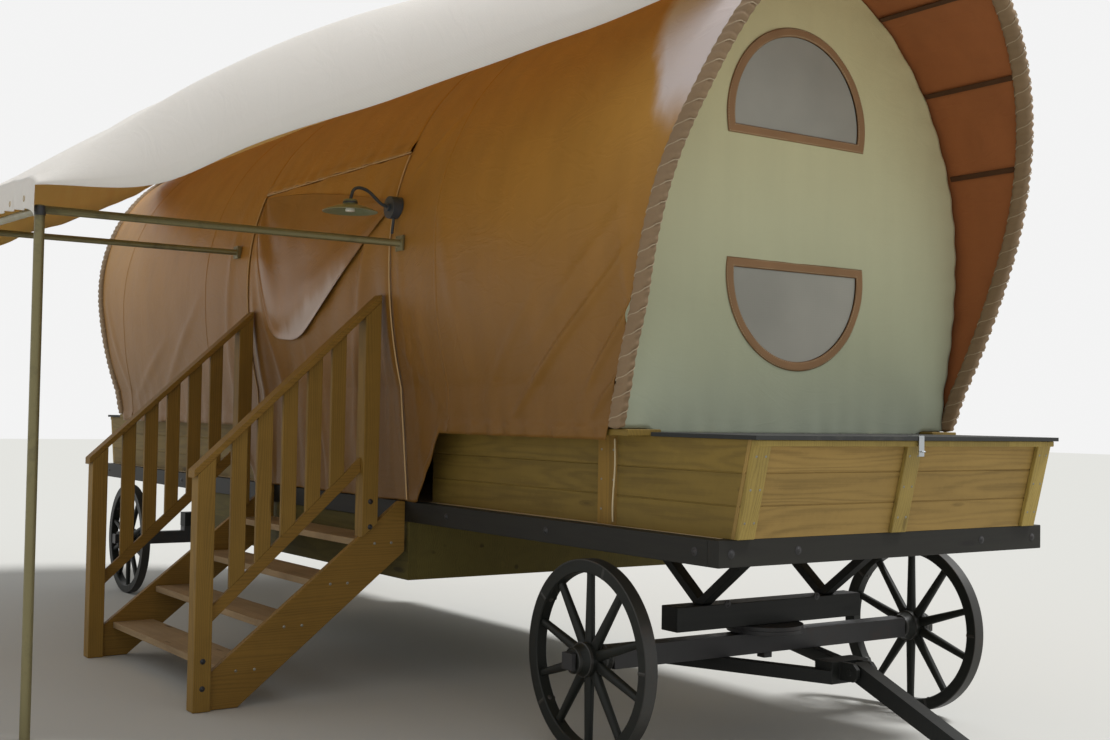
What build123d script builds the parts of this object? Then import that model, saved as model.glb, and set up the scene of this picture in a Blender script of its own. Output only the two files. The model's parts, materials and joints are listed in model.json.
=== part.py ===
"""Covered camping wagon on spoked wheels, with a fly sheet, side stairs and end lockers.

Millimetres. The model is laid out with X forward along the wagon, Y to its left and Z up.
While it is drawn, X = 0 is the front face of the front sill, Y = 0 the centre line and
Z = 0 the ground. Each piece is then moved so that the origin lies on the ground under the
middle of the whole wagon, stairs and fly sheet included.
"""

import os
from math import atan2, cos, pi, radians, sin, sqrt, tan

from build123d import *

os.makedirs("parts", exist_ok=True)

# Bed and sills
BED_LENGTH = 8300.0
SILL_HALF = 1050.0
SILL_BOTTOM = 942.0
SILL_HEIGHT = 114.0
SILL_WIDTH = 70.0
DECK_THICK = 28.0
DECK_BOARD = 240.0
BEARER_WIDTH = 80.0
MIDDLE_BEARERS = 5
GROOVE = 6.0
GROOVE_DEPTH = 4.0
CUT_PAST = 600.0

# Wagon box and its end lockers
BOARD_THICK = 22.0
BOX_HEIGHT = 414.0
BOX_SETBACK = 84.0
BOX_PLANKS = 3
END_FLARE = 100.0
CAP_DEPTH = 34.0
CAP_HEIGHT = 26.0
BATTEN_WIDTH = 95.0
BATTEN_THICK = 22.0
POST_FRONT = 800.0
POST_WIDTH = 150.0
POST_THICK = 30.0
WALL_X = 643.0
BULKHEAD_THICK = 22.0
RAIL_HEIGHT = 30.0
RAIL_INSET = 61.0
RAIL_FRONT = 85.0
LID_THICK = 18.0
LID_OVERHANG = 12.0
LID_LIP = 19.0
LID_BACK_GAP = 33.0
LID_SIDE_GAP = 25.0
LID_RAIL_GAP = 5.0
HASP_WIDTH = 34.0
HASP_DROP = 70.0
HASP_THICK = 4.0
HASP_LEAF = 60.0
HINGE_Y = 560.0
HINGE_HALF = 8.0
HINGE_LENGTH = 90.0
HINGE_KNUCKLE = 40.0
HINGE_GAP = 1.0
HINGE_LEAF_DROP = 40.0

# Canvas cover: half section from the sill to the crown
COVER_THICK = 12.0
SKIRT_PROUD = 12.0
FOOT_Z = 1060.0
BELLY_LOW_Z = 1700.0
BELLY_HALF = 1205.0
BELLY_Z = 2420.0
BELLY_LOW_RADIUS = 2900.0
CROWN_RADIUS = 1060.0
CROWN_ANGLE = 41.3
CROWN_Z = 3800.0
COVER_HEM_Z = 1450.0
HOOP_LEAN = 18.4
HOOP_FOOT_Z = 1689.0
HOOP_FOOT_X = -525.0
HEM_WIDTH = 95.0
HEM_PROUD = 14.0
HEM_INSET = 22.0
CANVAS_GAP = 0.3
HOOP_SIZE = 30.0
PURLIN_WIDTH = 28.0
PURLIN_DEPTH = 16.0
PURLIN_ANGLES = (0, 33, -33, 60, -60, 84, -84)

# End walls and their windows
WALL_THICK = 10.0
WINDOW_HALF = 457.0
UPPER_FLAT_Z = 2914.0
UPPER_TOP_Z = 3480.0
LOWER_FLAT_Z = 2320.0
LOWER_BOTTOM_Z = 1790.0
BORDER_WIDTH = 45.0
PANE_THICK = 4.0

# Side door and the canvas beside it
DOOR_FRONT = 2600.0
DOOR_REAR = 4640.0
DOOR_TOP = 3020.0
DOOR_GAP = 3.0
DOOR_REVEAL = 60.0
DOOR_INNER = 500.0
SKIRT_FRONT_LOW = 2480.0
SKIRT_FRONT_HIGH = 2200.0
SKIRT_REAR_LOW = 4760.0
SKIRT_REAR_HIGH = 5040.0
SWAG_TOP = 2960.0
SWAG_LOW = 2030.0
SWAG_MIDDLE = 3780.0
SWAG_HALF = 880.0
SWAG_ROUND = 230.0
SWAG_THICK = 48.0
SWAG_TURN = 60.0

# Fly sheet with its rails and posts
FLY_THICK = 10.0
FLY_TOUCH = 7.0
FLY_SHOULDER = 28.0
FLY_BOW = 250.0
FLY_SAG = 175.0
FLY_CORNER_DROP = 20.0
FLY_OUTER_DROP = 150.0
FLY_EDGE_RISE = 165.0
FLY_HEM = 13.0
FLY_FRONT_LOW = -2420.0
FLY_REAR_LOW = -4900.0
FLY_EDGE_Y = -3175.0
FLY_REAR_INSET = 200.0
FLY_RAIL_X = (-2470.0, -4850.0)
FLY_RAIL_RADIUS = 20.0
FLY_RAIL_Z = (2485.0, 2640.0)
FLY_POST_RADIUS = 25.0
TUBE_FLATS = 12
FLANGE_HALF = 42.0
FLANGE_THICK = 8.0
FLANGE_REACH = 100.0

# Stairs
RISE_COUNT = 5
STEP_GOING = 265.0
STEP_DEPTH = 258.0
STEP_THICK = 38.0
STAIR_FRONT = -2660.0
STAIR_WIDTH = 1880.0
STRINGER_THICK = 42.0
STRINGER_DEPTH = 245.0
STRINGER_LIFT = 30.0
NEWEL_SIZE = 95.0
NEWEL_TOP = 1200.0
NEWEL_FOOT_Y = -2270.0
TOP_NEWEL_Y = -1330.0
HANDRAIL_TOP_Z = 2170.0
HANDRAIL_DEPTH = 42.0
LOW_RAIL_RISE = 300.0
LOW_RAIL_DEPTH = 85.0
BALUSTER_WIDTH = 85.0
BALUSTER_THICK = 26.0
BALUSTER_COUNT = 5

# Undercarriage
WHEEL_RADIUS = 452.5
WHEEL_TRACK_HALF = 1077.0
WHEEL_WIDTH = 64.0
FELLOE_DEPTH = 62.0
FELLOE_FLATS = 40
SPOKE_COUNT = 10
SPOKE_WIDE = 52.0
SPOKE_NARROW = 36.0
SPOKE_DEPTH = 40.0
SPOKE_TENON = 12.0
HUB_RADIUS = 84.0
HUB_FLATS = 20
HUB_LENGTH = 200.0
AXLE_SETBACK = 837.0
ARM_RADIUS = 30.0
RUNNING_GAP = 0.05
END_GAP = 5.0
ARM_NUT_HALF = 38.0
ARM_NUT_THICK = 24.0
AXLE_BEAM = 100.0
PLATE_RADIUS = 190.0
PLATE_THICK = 20.0
KING_RADIUS = 18.0
KING_NUT_HALF = 26.0
KING_NUT_THICK = 26.0
BOLSTER_WIDTH = 120.0
BOLSTER_HALF = 615.0
BOLSTER_TOP = 660.0
STRUT_Y = 410.0
STRUT_SPREAD = 370.0
STRUT_WIDTH = 70.0
STRUT_THICK = 60.0
CASING_BOTTOM = 610.0
CASING_INSET = 20.0
CASING_FRONT = 2650.0
CASING_WALL = 22.0

# Fore-carriage hounds and drawbar
HOUND_SIZE = 62.0
HOUND_REAR_X = 1180.0
HOUND_REAR_Y = 470.0
HOUND_FRONT_Y = 88.0
PIVOT_X = -200.0
PIVOT_Z = 400.0
PIVOT_PIN_RADIUS = 14.0
PIN_PROUD = 8.0
HEAD_GAP = 20.0
HEAD_LENGTH = 110.0
EAR_THICK = 24.0
EAR_RADIUS = 42.0
BAR_WIDTH = 78.0
BAR_ANGLE = 22.0
BAR_SIDE_GAP = 5.0
BAR_TAPER = 6.0
SHANK_OUT = 160.0
SHANK_LENGTH = 260.0
SHANK_WIDTH = 52.0
EYE_THICK = 28.0
EYE_RADIUS = 52.0
EYE_BORE = 22.0

# Wall lamp beside the door
LAMP_X = -2550.0
LAMP_Z = 2690.0
LAMP_BASE_RADIUS = 62.0
LAMP_BASE_THICK = 34.0
LAMP_ARM_RADIUS = 9.0
LAMP_ARM_FLATS = 8
SHADE_RADIUS = 150.0
SHADE_NECK = 38.0
SHADE_CAP = 26.0
SHADE_HEIGHT = 66.0
SHADE_WALL = 3.0
SHADE_FLATS = 24
LAMP_REACH = 235.0
LAMP_RISE = 90.0
LAMP_DROP = 20.0
LAMP_BEND = 34.0
LAMP_STUB = 25.0
LAMP_CROOK = 90.0
LAMP_SEAT = 100.0

# Worked out from the above
BOX_HALF = SILL_HALF - BOX_SETBACK
RAIL_INNER = BOX_HALF - RAIL_INSET
LID_HALF = BOX_HALF + LID_LIP
FOOT_HALF = SILL_HALF + SKIRT_PROUD
FLY_EDGE_Z = FLY_RAIL_Z[0] + FLY_EDGE_RISE
CASING_HALF = SILL_HALF - CASING_INSET
DECK_TOP = SILL_BOTTOM + SILL_HEIGHT
HINGE_X = -WALL_X + LID_BACK_GAP / 2
BOX_TOP = DECK_TOP + BOX_HEIGHT
RAIL_TOP = BOX_TOP + RAIL_HEIGHT
MIDDLE_X = -BED_LENGTH / 2
HUB_Z = WHEEL_RADIUS
FRONT_AXLE_X = -AXLE_SETBACK
REAR_AXLE_X = AXLE_SETBACK - BED_LENGTH
BEAM_BOTTOM = HUB_Z - AXLE_BEAM / 2
BEAM_TOP = HUB_Z + AXLE_BEAM / 2
LEAN = tan(radians(HOOP_LEAN))
BAR_REACH = (PIVOT_Z - EYE_THICK / 2 * cos(radians(BAR_ANGLE))) / sin(radians(BAR_ANGLE))
FRONT_REACH = PIVOT_X + BAR_REACH * cos(radians(BAR_ANGLE)) + EYE_THICK / 2 * sin(radians(BAR_ANGLE))


def hoop_x(z):
    """Front face of the front hem at height z, on a plane that leans forward."""
    return HOOP_FOOT_X + LEAN * (z - HOOP_FOOT_Z)


REAR_REACH = -BED_LENGTH - hoop_x(CROWN_Z + COVER_THICK + HEM_PROUD)
ORIGIN_X = (FRONT_REACH + REAR_REACH) / 2
ORIGIN_Y = (FLY_EDGE_Y + BELLY_HALF + COVER_THICK + HEM_PROUD) / 2


def write(name, *shapes):
    """Move the pieces to the part's own frame and write them as one file."""
    solids = [solid for shape in shapes for solid in shape.solids()]
    placed = Compound(children=[Pos(-ORIGIN_X, -ORIGIN_Y, 0) * solid for solid in solids])
    export_step(placed, f"parts/{name}.step")


def block(x, y, z):
    """Box between two values on each axis."""
    sizes = [high - low for low, high in (x, y, z)]
    middle = [(high + low) / 2 for low, high in (x, y, z)]
    return Pos(*middle) * Box(*sizes)


def side_prism(points, y):
    """Outline of (x, z) points carried from one y to the other."""
    wire = Polyline(*[(px, y[0], pz) for px, pz in points], close=True)
    return Solid.extrude(Face(Wire(wire.edges())), Vector(0, y[1] - y[0], 0))


def end_prism(points, x):
    """Outline of (y, z) points carried from one x to the other."""
    wire = Polyline(*[(x[0], py, pz) for py, pz in points], close=True)
    return Solid.extrude(Face(Wire(wire.edges())), Vector(x[1] - x[0], 0, 0))


def rod(start, end, radius):
    """Round bar between two points."""
    line = Vector(*end) - Vector(*start)
    plane = Plane(origin=start, z_dir=line)
    return Solid.extrude(Face(Wire.make_circle(radius, plane)), line)


def flat_sided(start, end, radius, sides):
    """Straight bar of narrow flats between two points."""
    line = Vector(*end) - Vector(*start)
    return extrude(Plane(origin=start, z_dir=line) * RegularPolygon(radius, sides), line.length)


def flat_cone(rings, flats):
    """Solid of flat faces between two level rings, each given by its radius and height."""
    turns = [2 * pi * k / flats for k in range(flats)]
    outlines = [[Vector(radius * cos(turn), radius * sin(turn), z) for turn in turns] for radius, z in rings]
    upper, lower = outlines
    sides = [[upper[k - 1], upper[k], lower[k], lower[k - 1]] for k in range(flats)]
    return Solid(Shell([Face(Wire.make_polygon(outline)) for outline in outlines + sides]))


def at_rear(shape):
    """The same piece turned about the middle of the bed, at the other end."""
    return Pos(MIDDLE_X, 0, 0) * Rot(0, 0, 180) * Pos(-MIDDLE_X, 0, 0) * shape


def mirrored(shape):
    """The same piece on the other side of the centre line."""
    return shape.mirror(Plane.XZ)


def plank_grooves(length_x, planks, y, face):
    """Grooves between the box's level planks, cut into a face at y, that run along x."""
    depth = sorted((y - face * GROOVE_DEPTH, y + face * GROOVE_DEPTH))
    joints = [DECK_TOP + k * BOX_HEIGHT / planks for k in range(1, planks)]
    return [block(length_x, depth, (z - GROOVE / 2, z + GROOVE / 2)) for z in joints]


def cover_points(grow):
    """Ends, mid points and apex of the half section's line and arcs, moved out by grow."""
    low_y = BELLY_HALF - BELLY_LOW_RADIUS
    low_r = BELLY_LOW_RADIUS + grow
    low_dz = BELLY_Z - BELLY_LOW_Z
    angle = radians(CROWN_ANGLE)
    crown_z = CROWN_Z - CROWN_RADIUS
    side_radius = CROWN_RADIUS + (crown_z - BELLY_Z) / cos(angle)
    side_y = BELLY_HALF - side_radius
    turn = atan2(low_dz, sqrt(BELLY_LOW_RADIUS**2 - low_dz**2))
    half = radians(90 - CROWN_ANGLE) / 2
    crown_r = CROWN_RADIUS + grow
    side_r = side_radius + grow
    return [
        (FOOT_HALF + grow, FOOT_Z),
        (low_y + low_r * cos(turn), BELLY_Z - low_r * sin(turn)),
        (low_y + low_r * cos(turn / 2), BELLY_Z - low_r * sin(turn / 2)),
        (BELLY_HALF + grow, BELLY_Z),
        (side_y + side_r * cos(half), BELLY_Z + side_r * sin(half)),
        (crown_r * sin(angle), crown_z + crown_r * cos(angle)),
        (crown_r * sin(angle / 2), crown_z + crown_r * cos(angle / 2)),
        (0.0, crown_z + crown_r),
    ]


def cover_face(grow, x):
    """Filled section of the cover at one x, from the foot line to the crown."""
    right = [(x, -y, z) for y, z in cover_points(grow)]
    left = [(x, y, z) for y, z in cover_points(grow)]
    edges = []
    for side in (right, left):
        edges.append(Edge.make_line(side[0], side[1]))
        edges.append(Edge.make_three_point_arc(side[1], side[2], side[3]))
        edges.append(Edge.make_three_point_arc(side[3], side[4], side[5]))
        edges.append(Edge.make_three_point_arc(side[5], side[6], side[7]))
    edges.append(Edge.make_line(right[0], left[0]))
    return Face(Wire.combine(edges)[0])


def cover_body(grow, x):
    """Filled section carried from one x to the other."""
    return Solid.extrude(cover_face(grow, x[0]), Vector(x[1] - x[0], 0, 0))


def cover_skin(inner, outer, x):
    """Skin between two offsets of the section."""
    return cover_body(outer, x) - cover_body(inner, x) - block(x, (-FOOT_HALF, FOOT_HALF), (0, FOOT_Z))


def leaning_slab(front, rear, low_z, high_z):
    """Slab along the leaning hem plane, set back from it by front and rear amounts."""
    half = 2 * SILL_HALF
    corners = [
        (hoop_x(low_z) - front, low_z),
        (hoop_x(high_z) - front, high_z),
        (hoop_x(high_z) - rear, high_z),
        (hoop_x(low_z) - rear, low_z),
    ]
    return side_prism(corners, (-half, half))


def section_half(z, grow=0.0):
    """Half width of the cover's section at a height between foot and belly."""
    points = cover_points(grow)
    if z <= points[1][1]:
        share = (z - points[0][1]) / (points[1][1] - points[0][1])
        return points[0][0] + share * (points[1][0] - points[0][0])
    drop = BELLY_Z - z
    return BELLY_HALF - BELLY_LOW_RADIUS + sqrt((BELLY_LOW_RADIUS + grow) ** 2 - drop**2)


def bulkhead():
    """Board behind the front locker, let into the deck."""
    inner = BOX_HALF - BOARD_THICK
    return block((-WALL_X - BULKHEAD_THICK, -WALL_X), (-inner, inner), (DECK_TOP - GROOVE_DEPTH, BOX_TOP))


def bed():
    """Perimeter sills, cross bearers and the grooved deck."""
    inner = SILL_HALF - SILL_WIDTH
    z = (SILL_BOTTOM, DECK_TOP)
    long_x = (SILL_WIDTH - BED_LENGTH, -SILL_WIDTH)
    right = block(long_x, (-SILL_HALF, -inner), z)
    write("long_sills", right, mirrored(right))
    front = block((-SILL_WIDTH, 0), (-SILL_HALF, SILL_HALF), z)
    write("end_sills", front, at_rear(front))
    bearer_z = (SILL_BOTTOM, DECK_TOP - DECK_THICK)
    # one bearer over each row of strut heads, the rest spread between them
    axles = (FRONT_AXLE_X, REAR_AXLE_X)
    over_struts = [axle_x + sign * STRUT_SPREAD for axle_x in axles for sign in (1, -1)]
    span_front = FRONT_AXLE_X - STRUT_SPREAD
    span_rear = REAR_AXLE_X + STRUT_SPREAD
    pitch = (span_front - span_rear) / (MIDDLE_BEARERS + 1)
    between = [span_front - pitch * (k + 1) for k in range(MIDDLE_BEARERS)]
    bearers = []
    for x in over_struts + between:
        bearers.append(block((x - BEARER_WIDTH / 2, x + BEARER_WIDTH / 2), (-inner, inner), bearer_z))
    write("cross_bearers", *bearers)
    deck = block(long_x, (-inner, inner), (DECK_TOP - DECK_THICK, DECK_TOP))
    count = int(2 * inner / DECK_BOARD)
    groove_z = (DECK_TOP - GROOVE_DEPTH, DECK_TOP + GROOVE_DEPTH)
    for k in range(1, count):
        y = -inner + k * 2 * inner / count
        deck -= block(long_x, (y - GROOVE / 2, y + GROOVE / 2), groove_z)
    write("deck_boards", deck - bulkhead() - at_rear(bulkhead()))


def flare_x(z):
    """Outer face of the flared end boards at a height."""
    return END_FLARE * (z - DECK_TOP) / BOX_HEIGHT


def end_board():
    """Flared end of three level planks, with a cap along its top."""
    low, high = DECK_TOP, BOX_TOP
    outline = [
        (flare_x(low), low),
        (flare_x(high), high),
        (flare_x(high) - BOARD_THICK, high),
        (flare_x(low) - BOARD_THICK, low),
    ]
    board = side_prism(outline, (-BOX_HALF, BOX_HALF))
    step = BOX_HEIGHT / BOX_PLANKS
    for k in range(1, BOX_PLANKS):
        z = low + k * step
        groove = [
            (flare_x(z) - GROOVE_DEPTH, z - GROOVE / 2),
            (flare_x(z) + GROOVE_DEPTH, z - GROOVE / 2),
            (flare_x(z) + GROOVE_DEPTH, z + GROOVE / 2),
            (flare_x(z) - GROOVE_DEPTH, z + GROOVE / 2),
        ]
        board -= side_prism(groove, (-BOX_HALF, BOX_HALF))
    return board


def end_battens():
    """Upright battens on the flared end: one at each corner and one in the middle."""
    low, high = DECK_TOP, BOX_TOP - CAP_HEIGHT
    outline = [
        (flare_x(low), low),
        (flare_x(high), high),
        (flare_x(high) + BATTEN_THICK, high),
        (flare_x(low) + BATTEN_THICK, low),
    ]
    places = (
        (-BOX_HALF, -BOX_HALF + BATTEN_WIDTH),
        (-BATTEN_WIDTH / 2, BATTEN_WIDTH / 2),
        (BOX_HALF - BATTEN_WIDTH, BOX_HALF),
    )
    cap_low = BOX_TOP - CAP_HEIGHT
    cap = [
        (flare_x(cap_low), cap_low),
        (flare_x(BOX_TOP), BOX_TOP),
        (flare_x(BOX_TOP) + CAP_DEPTH, BOX_TOP),
        (flare_x(BOX_TOP) + CAP_DEPTH, cap_low),
    ]
    rail = side_prism(cap, (-BOX_HALF, BOX_HALF))
    for y in places:
        rail += side_prism(outline, y)
    return rail


def locker_side():
    """Side of an end locker, cut to the flare of its end board."""
    low, high = DECK_TOP, BOX_TOP
    outline = [
        (-POST_FRONT, low),
        (flare_x(low) - BOARD_THICK, low),
        (flare_x(high) - BOARD_THICK, high),
        (-POST_FRONT, high),
    ]
    side = side_prism(outline, (-BOX_HALF, -BOX_HALF + BOARD_THICK))
    for groove in plank_grooves((-POST_FRONT, CUT_PAST), BOX_PLANKS, -BOX_HALF, -1):
        side -= groove
    return side


def knuckle(x, middle, half, low):
    """Square knuckle on the lid's hinge line, which is level with the middle of the lid."""
    axis_z = BOX_TOP + LID_THICK / 2
    return block(x, (middle - half, middle + half), (low, axis_z + HINGE_HALF))


def hinge_fixed():
    """Outer knuckles that stand on the front bulkhead's face."""
    centre = (HINGE_LENGTH + HINGE_KNUCKLE + 2 * HINGE_GAP) / 4
    half = (HINGE_LENGTH - HINGE_KNUCKLE - 2 * HINGE_GAP) / 4
    places = [y + side * centre for y in (-HINGE_Y, HINGE_Y) for side in (-1, 1)]
    x = (-WALL_X, HINGE_X + HINGE_HALF)
    return [knuckle(x, place, half, BOX_TOP - HINGE_LEAF_DROP) for place in places]


def hinge_moving(back_x):
    """Middle knuckles on the back edge of the lid."""
    low = BOX_TOP + LID_THICK / 2 - HINGE_HALF
    x = (HINGE_X - HINGE_HALF, back_x)
    return [knuckle(x, place, HINGE_KNUCKLE / 2, low) for place in (-HINGE_Y, HINGE_Y)]


def box():
    """Boards, posts, bulkheads and rim rails of the wagon box."""
    board = end_board()
    write("box_end_boards", board, at_rear(board))
    battens = end_battens()
    write("box_end_battens", battens, at_rear(battens))
    side = locker_side()
    sides = [side, mirrored(side)]
    write("locker_sides", *sides, *[at_rear(s) for s in sides])
    post_rear = POST_FRONT + POST_WIDTH
    post = block((-post_rear, -POST_FRONT), (-BOX_HALF, -BOX_HALF + POST_THICK), (DECK_TOP, BOX_TOP))
    posts = [post, mirrored(post)]
    write("side_posts", *posts, *[at_rear(p) for p in posts])
    face = BOX_HALF - BOARD_THICK
    runs = (
        (-1, -DOOR_FRONT + DOOR_REVEAL, -post_rear),
        (-1, post_rear - BED_LENGTH, -DOOR_REAR - DOOR_REVEAL),
        (1, post_rear - BED_LENGTH, -post_rear),
    )
    boards = []
    for side_sign, rear_x, front_x in runs:
        y = sorted((side_sign * face, side_sign * (face - BOARD_THICK)))
        run_x = (rear_x, front_x)
        run = block(run_x, y, (DECK_TOP, BOX_TOP))
        for groove in plank_grooves(run_x, BOX_PLANKS, side_sign * face, side_sign):
            run -= groove
        boards.append(run)
    write("side_boards", *boards)
    board = bulkhead()
    for ear in hinge_fixed():
        board += ear
    write("bulkheads", board, at_rear(board))
    outer = section_half(BOX_TOP) - CANVAS_GAP
    front = -WALL_X + RAIL_FRONT
    rail_runs = (
        (-1, -DOOR_FRONT + DOOR_REVEAL, front),
        (-1, -BED_LENGTH - front, -DOOR_REAR - DOOR_REVEAL),
        (1, -BED_LENGTH - front, front),
    )
    rails = []
    for side_sign, rear_x, front_x in rail_runs:
        y = sorted((side_sign * RAIL_INNER, side_sign * outer))
        rail = block((rear_x, front_x), y, (BOX_TOP, RAIL_TOP))
        rails.append(rail)
    write("rim_rails", *rails)


def lockers():
    """Hinged lids of both lockers, each with its hasp."""
    front_x = flare_x(BOX_TOP) + CAP_DEPTH + LID_OVERHANG
    back_x = -WALL_X + LID_BACK_GAP
    lid_z = (BOX_TOP, BOX_TOP + LID_THICK)
    lid = block((back_x, front_x), (LID_RAIL_GAP - RAIL_INNER, RAIL_INNER - LID_RAIL_GAP), lid_z)
    lid += block((-WALL_X + RAIL_FRONT + LID_SIDE_GAP, front_x), (-LID_HALF, LID_HALF), lid_z)
    for arm in hinge_moving(back_x):
        lid += arm
    write("front_locker_lid", lid)
    write("rear_locker_lid", at_rear(lid))
    strap = block(
        (front_x, front_x + HASP_THICK),
        (-HASP_WIDTH / 2, HASP_WIDTH / 2),
        (BOX_TOP - HASP_DROP, BOX_TOP + LID_THICK + HASP_THICK),
    )
    strap += block(
        (front_x - HASP_LEAF, front_x + HASP_THICK),
        (-HASP_WIDTH / 2, HASP_WIDTH / 2),
        (BOX_TOP + LID_THICK, BOX_TOP + LID_THICK + HASP_THICK),
    )
    write("front_hasp", strap)
    write("rear_hasp", at_rear(strap))


def window_face(half, flat_z, tip_z, x):
    """Window outline with one flat edge and an arc to its tip."""
    arc = Edge.make_three_point_arc((x, -half, flat_z), (x, 0, tip_z), (x, half, flat_z))
    flat = Edge.make_line((x, half, flat_z), (x, -half, flat_z))
    return Face(Wire.combine([arc, flat])[0])


def window_body(inset, x, which):
    """One window carried from one x to the other, drawn in by inset."""
    flat_z, tip_z = which
    up = 1 if tip_z > flat_z else -1
    face = window_face(WINDOW_HALF - inset, flat_z + up * inset, tip_z - up * inset, x[0])
    return Solid.extrude(face, Vector(x[1] - x[0], 0, 0))


def cover():
    """Canvas cover, its end hems, hoops, purlins, end walls, windows and door flap."""
    windows = ((UPPER_FLAT_Z, UPPER_TOP_Z), (LOWER_FLAT_Z, LOWER_BOTTOM_Z))
    top = CROWN_Z + CUT_PAST
    reach = (-BED_LENGTH - CUT_PAST, CUT_PAST)
    skin = cover_skin(0, COVER_THICK, reach)
    front_cut = leaning_slab(-3 * CUT_PAST, HEM_WIDTH, 0, top)
    skin = skin - front_cut - at_rear(front_cut)
    wide = 2 * SILL_HALF
    skirt = [
        (CUT_PAST, COVER_HEM_Z),
        (-SKIRT_FRONT_HIGH, COVER_HEM_Z),
        (-SKIRT_FRONT_LOW, FOOT_Z),
        (-SKIRT_FRONT_LOW, 0),
        (CUT_PAST, 0),
    ]
    rear_skirt = [
        (-BED_LENGTH - CUT_PAST, COVER_HEM_Z),
        (-SKIRT_REAR_HIGH, COVER_HEM_Z),
        (-SKIRT_REAR_LOW, FOOT_Z),
        (-SKIRT_REAR_LOW, 0),
        (-BED_LENGTH - CUT_PAST, 0),
    ]
    skin = skin - side_prism(skirt, (-wide, 0)) - side_prism(rear_skirt, (-wide, 0))
    skin -= block(reach, (0, wide), (0, COVER_HEM_Z))
    door = block((-DOOR_REAR, -DOOR_FRONT), (-wide, -DOOR_INNER), (0, DOOR_TOP))
    skin -= door
    write("cover_canvas", skin)

    hem = cover_skin(-HEM_INSET, COVER_THICK + HEM_PROUD, (-2 * CUT_PAST, CUT_PAST))
    hem = hem & leaning_slab(0, HEM_WIDTH, RAIL_TOP, top)
    write("cover_hems", hem, at_rear(hem))

    around_wall = (-WALL_X - 2 * WALL_THICK, -WALL_X + 2 * WALL_THICK)
    wall = cover_body(-CANVAS_GAP, (-WALL_X - WALL_THICK, -WALL_X))
    wall -= block(around_wall, (-wide, wide), (0, BOX_TOP))
    for sign in (-1, 1):
        wall -= block(around_wall, sorted((sign * RAIL_INNER, sign * wide)), (0, RAIL_TOP))
    sleeve = cover_skin(-HEM_INSET - CANVAS_GAP, COVER_THICK + HEM_PROUD, around_wall)
    wall -= sleeve & leaning_slab(-CANVAS_GAP, HEM_WIDTH + CANVAS_GAP, 0, top)
    panes = []
    for which in windows:
        wall -= window_body(BORDER_WIDTH, around_wall, which)
        middle = -WALL_X - WALL_THICK / 2
        pane_x = (middle - PANE_THICK / 2, middle + PANE_THICK / 2)
        panes.append(window_body(BORDER_WIDTH + CANVAS_GAP, pane_x, which))
    write("end_walls", wall, at_rear(wall))
    write("window_panes", *panes, *[at_rear(p) for p in panes])

    # hoops stand where the fly rails are bolted through the canvas
    hoops = []
    for x in FLY_RAIL_X:
        hoop = cover_skin(-HOOP_SIZE, -CANVAS_GAP, (x - HOOP_SIZE / 2, x + HOOP_SIZE / 2))
        hoop -= block((x - HOOP_SIZE, x + HOOP_SIZE), (-wide, wide), (0, RAIL_TOP))
        hoops.append(hoop)
    write("hoops", *hoops)

    # purlins at angles from the crown, in degrees
    purlins = []
    crown_centre = CROWN_Z - CROWN_RADIUS
    strip = (CANVAS_GAP - WALL_X, CUT_PAST)
    ring = cover_skin(-PURLIN_DEPTH, -CANVAS_GAP, strip) - leaning_slab(-3 * CUT_PAST, HEM_WIDTH, 0, top)
    for angle in PURLIN_ANGLES:
        ray = Pos(0, 0, crown_centre) * Rot(angle, 0, 0) * block(
            strip, (-PURLIN_WIDTH / 2, PURLIN_WIDTH / 2), (CROWN_RADIUS / 3, 2 * CROWN_RADIUS)
        )
        purlins.append(ring & ray)
    write("bonnet_purlins", *purlins, *[at_rear(p) for p in purlins])

    flap_x = (-DOOR_REAR + DOOR_GAP, -DOOR_FRONT - DOOR_GAP)
    flap = cover_skin(0, COVER_THICK, flap_x)
    flap = flap & block(flap_x, (-wide, -DOOR_INNER), (DECK_TOP + DOOR_GAP, DOOR_TOP - DOOR_GAP))
    swag_outline = [
        (-SWAG_MIDDLE - SWAG_HALF, SWAG_TOP),
        (-SWAG_MIDDLE + SWAG_HALF, SWAG_TOP),
        (-SWAG_MIDDLE + SWAG_ROUND, SWAG_LOW + SWAG_TURN),
        (-SWAG_MIDDLE, SWAG_LOW),
        (-SWAG_MIDDLE - SWAG_ROUND, SWAG_LOW + SWAG_TURN),
    ]
    swag_x = (-SWAG_MIDDLE - SWAG_HALF, -SWAG_MIDDLE + SWAG_HALF)
    swag = cover_skin(COVER_THICK, COVER_THICK + SWAG_THICK, swag_x)
    swag = swag & side_prism(swag_outline, (-wide, -DOOR_INNER))
    write("door_flap", flap)
    write("door_swag", Pos(0, -CANVAS_GAP, 0) * swag)


def fly_edge_y(x):
    """Outer edge of the fly sheet in plan, which comes nearer to the wagon towards the rear."""
    share = (FLY_FRONT_LOW - x) / (FLY_FRONT_LOW - FLY_REAR_LOW)
    return FLY_EDGE_Y + share * FLY_REAR_INSET


def roof_point(radius, angle, x):
    """Point of the crown's circle at an angle from the top, in degrees, to the right."""
    return Vector(x, -radius * sin(radians(angle)), CROWN_Z - CROWN_RADIUS + radius * cos(radians(angle)))


def bowed(start, end, rise):
    """Middle of an arc from start to end that stands above its chord by rise."""
    along = (end - start).normalized()
    return (start + end) * 0.5 + Vector(0, along.Z, -along.Y) * rise


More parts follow.
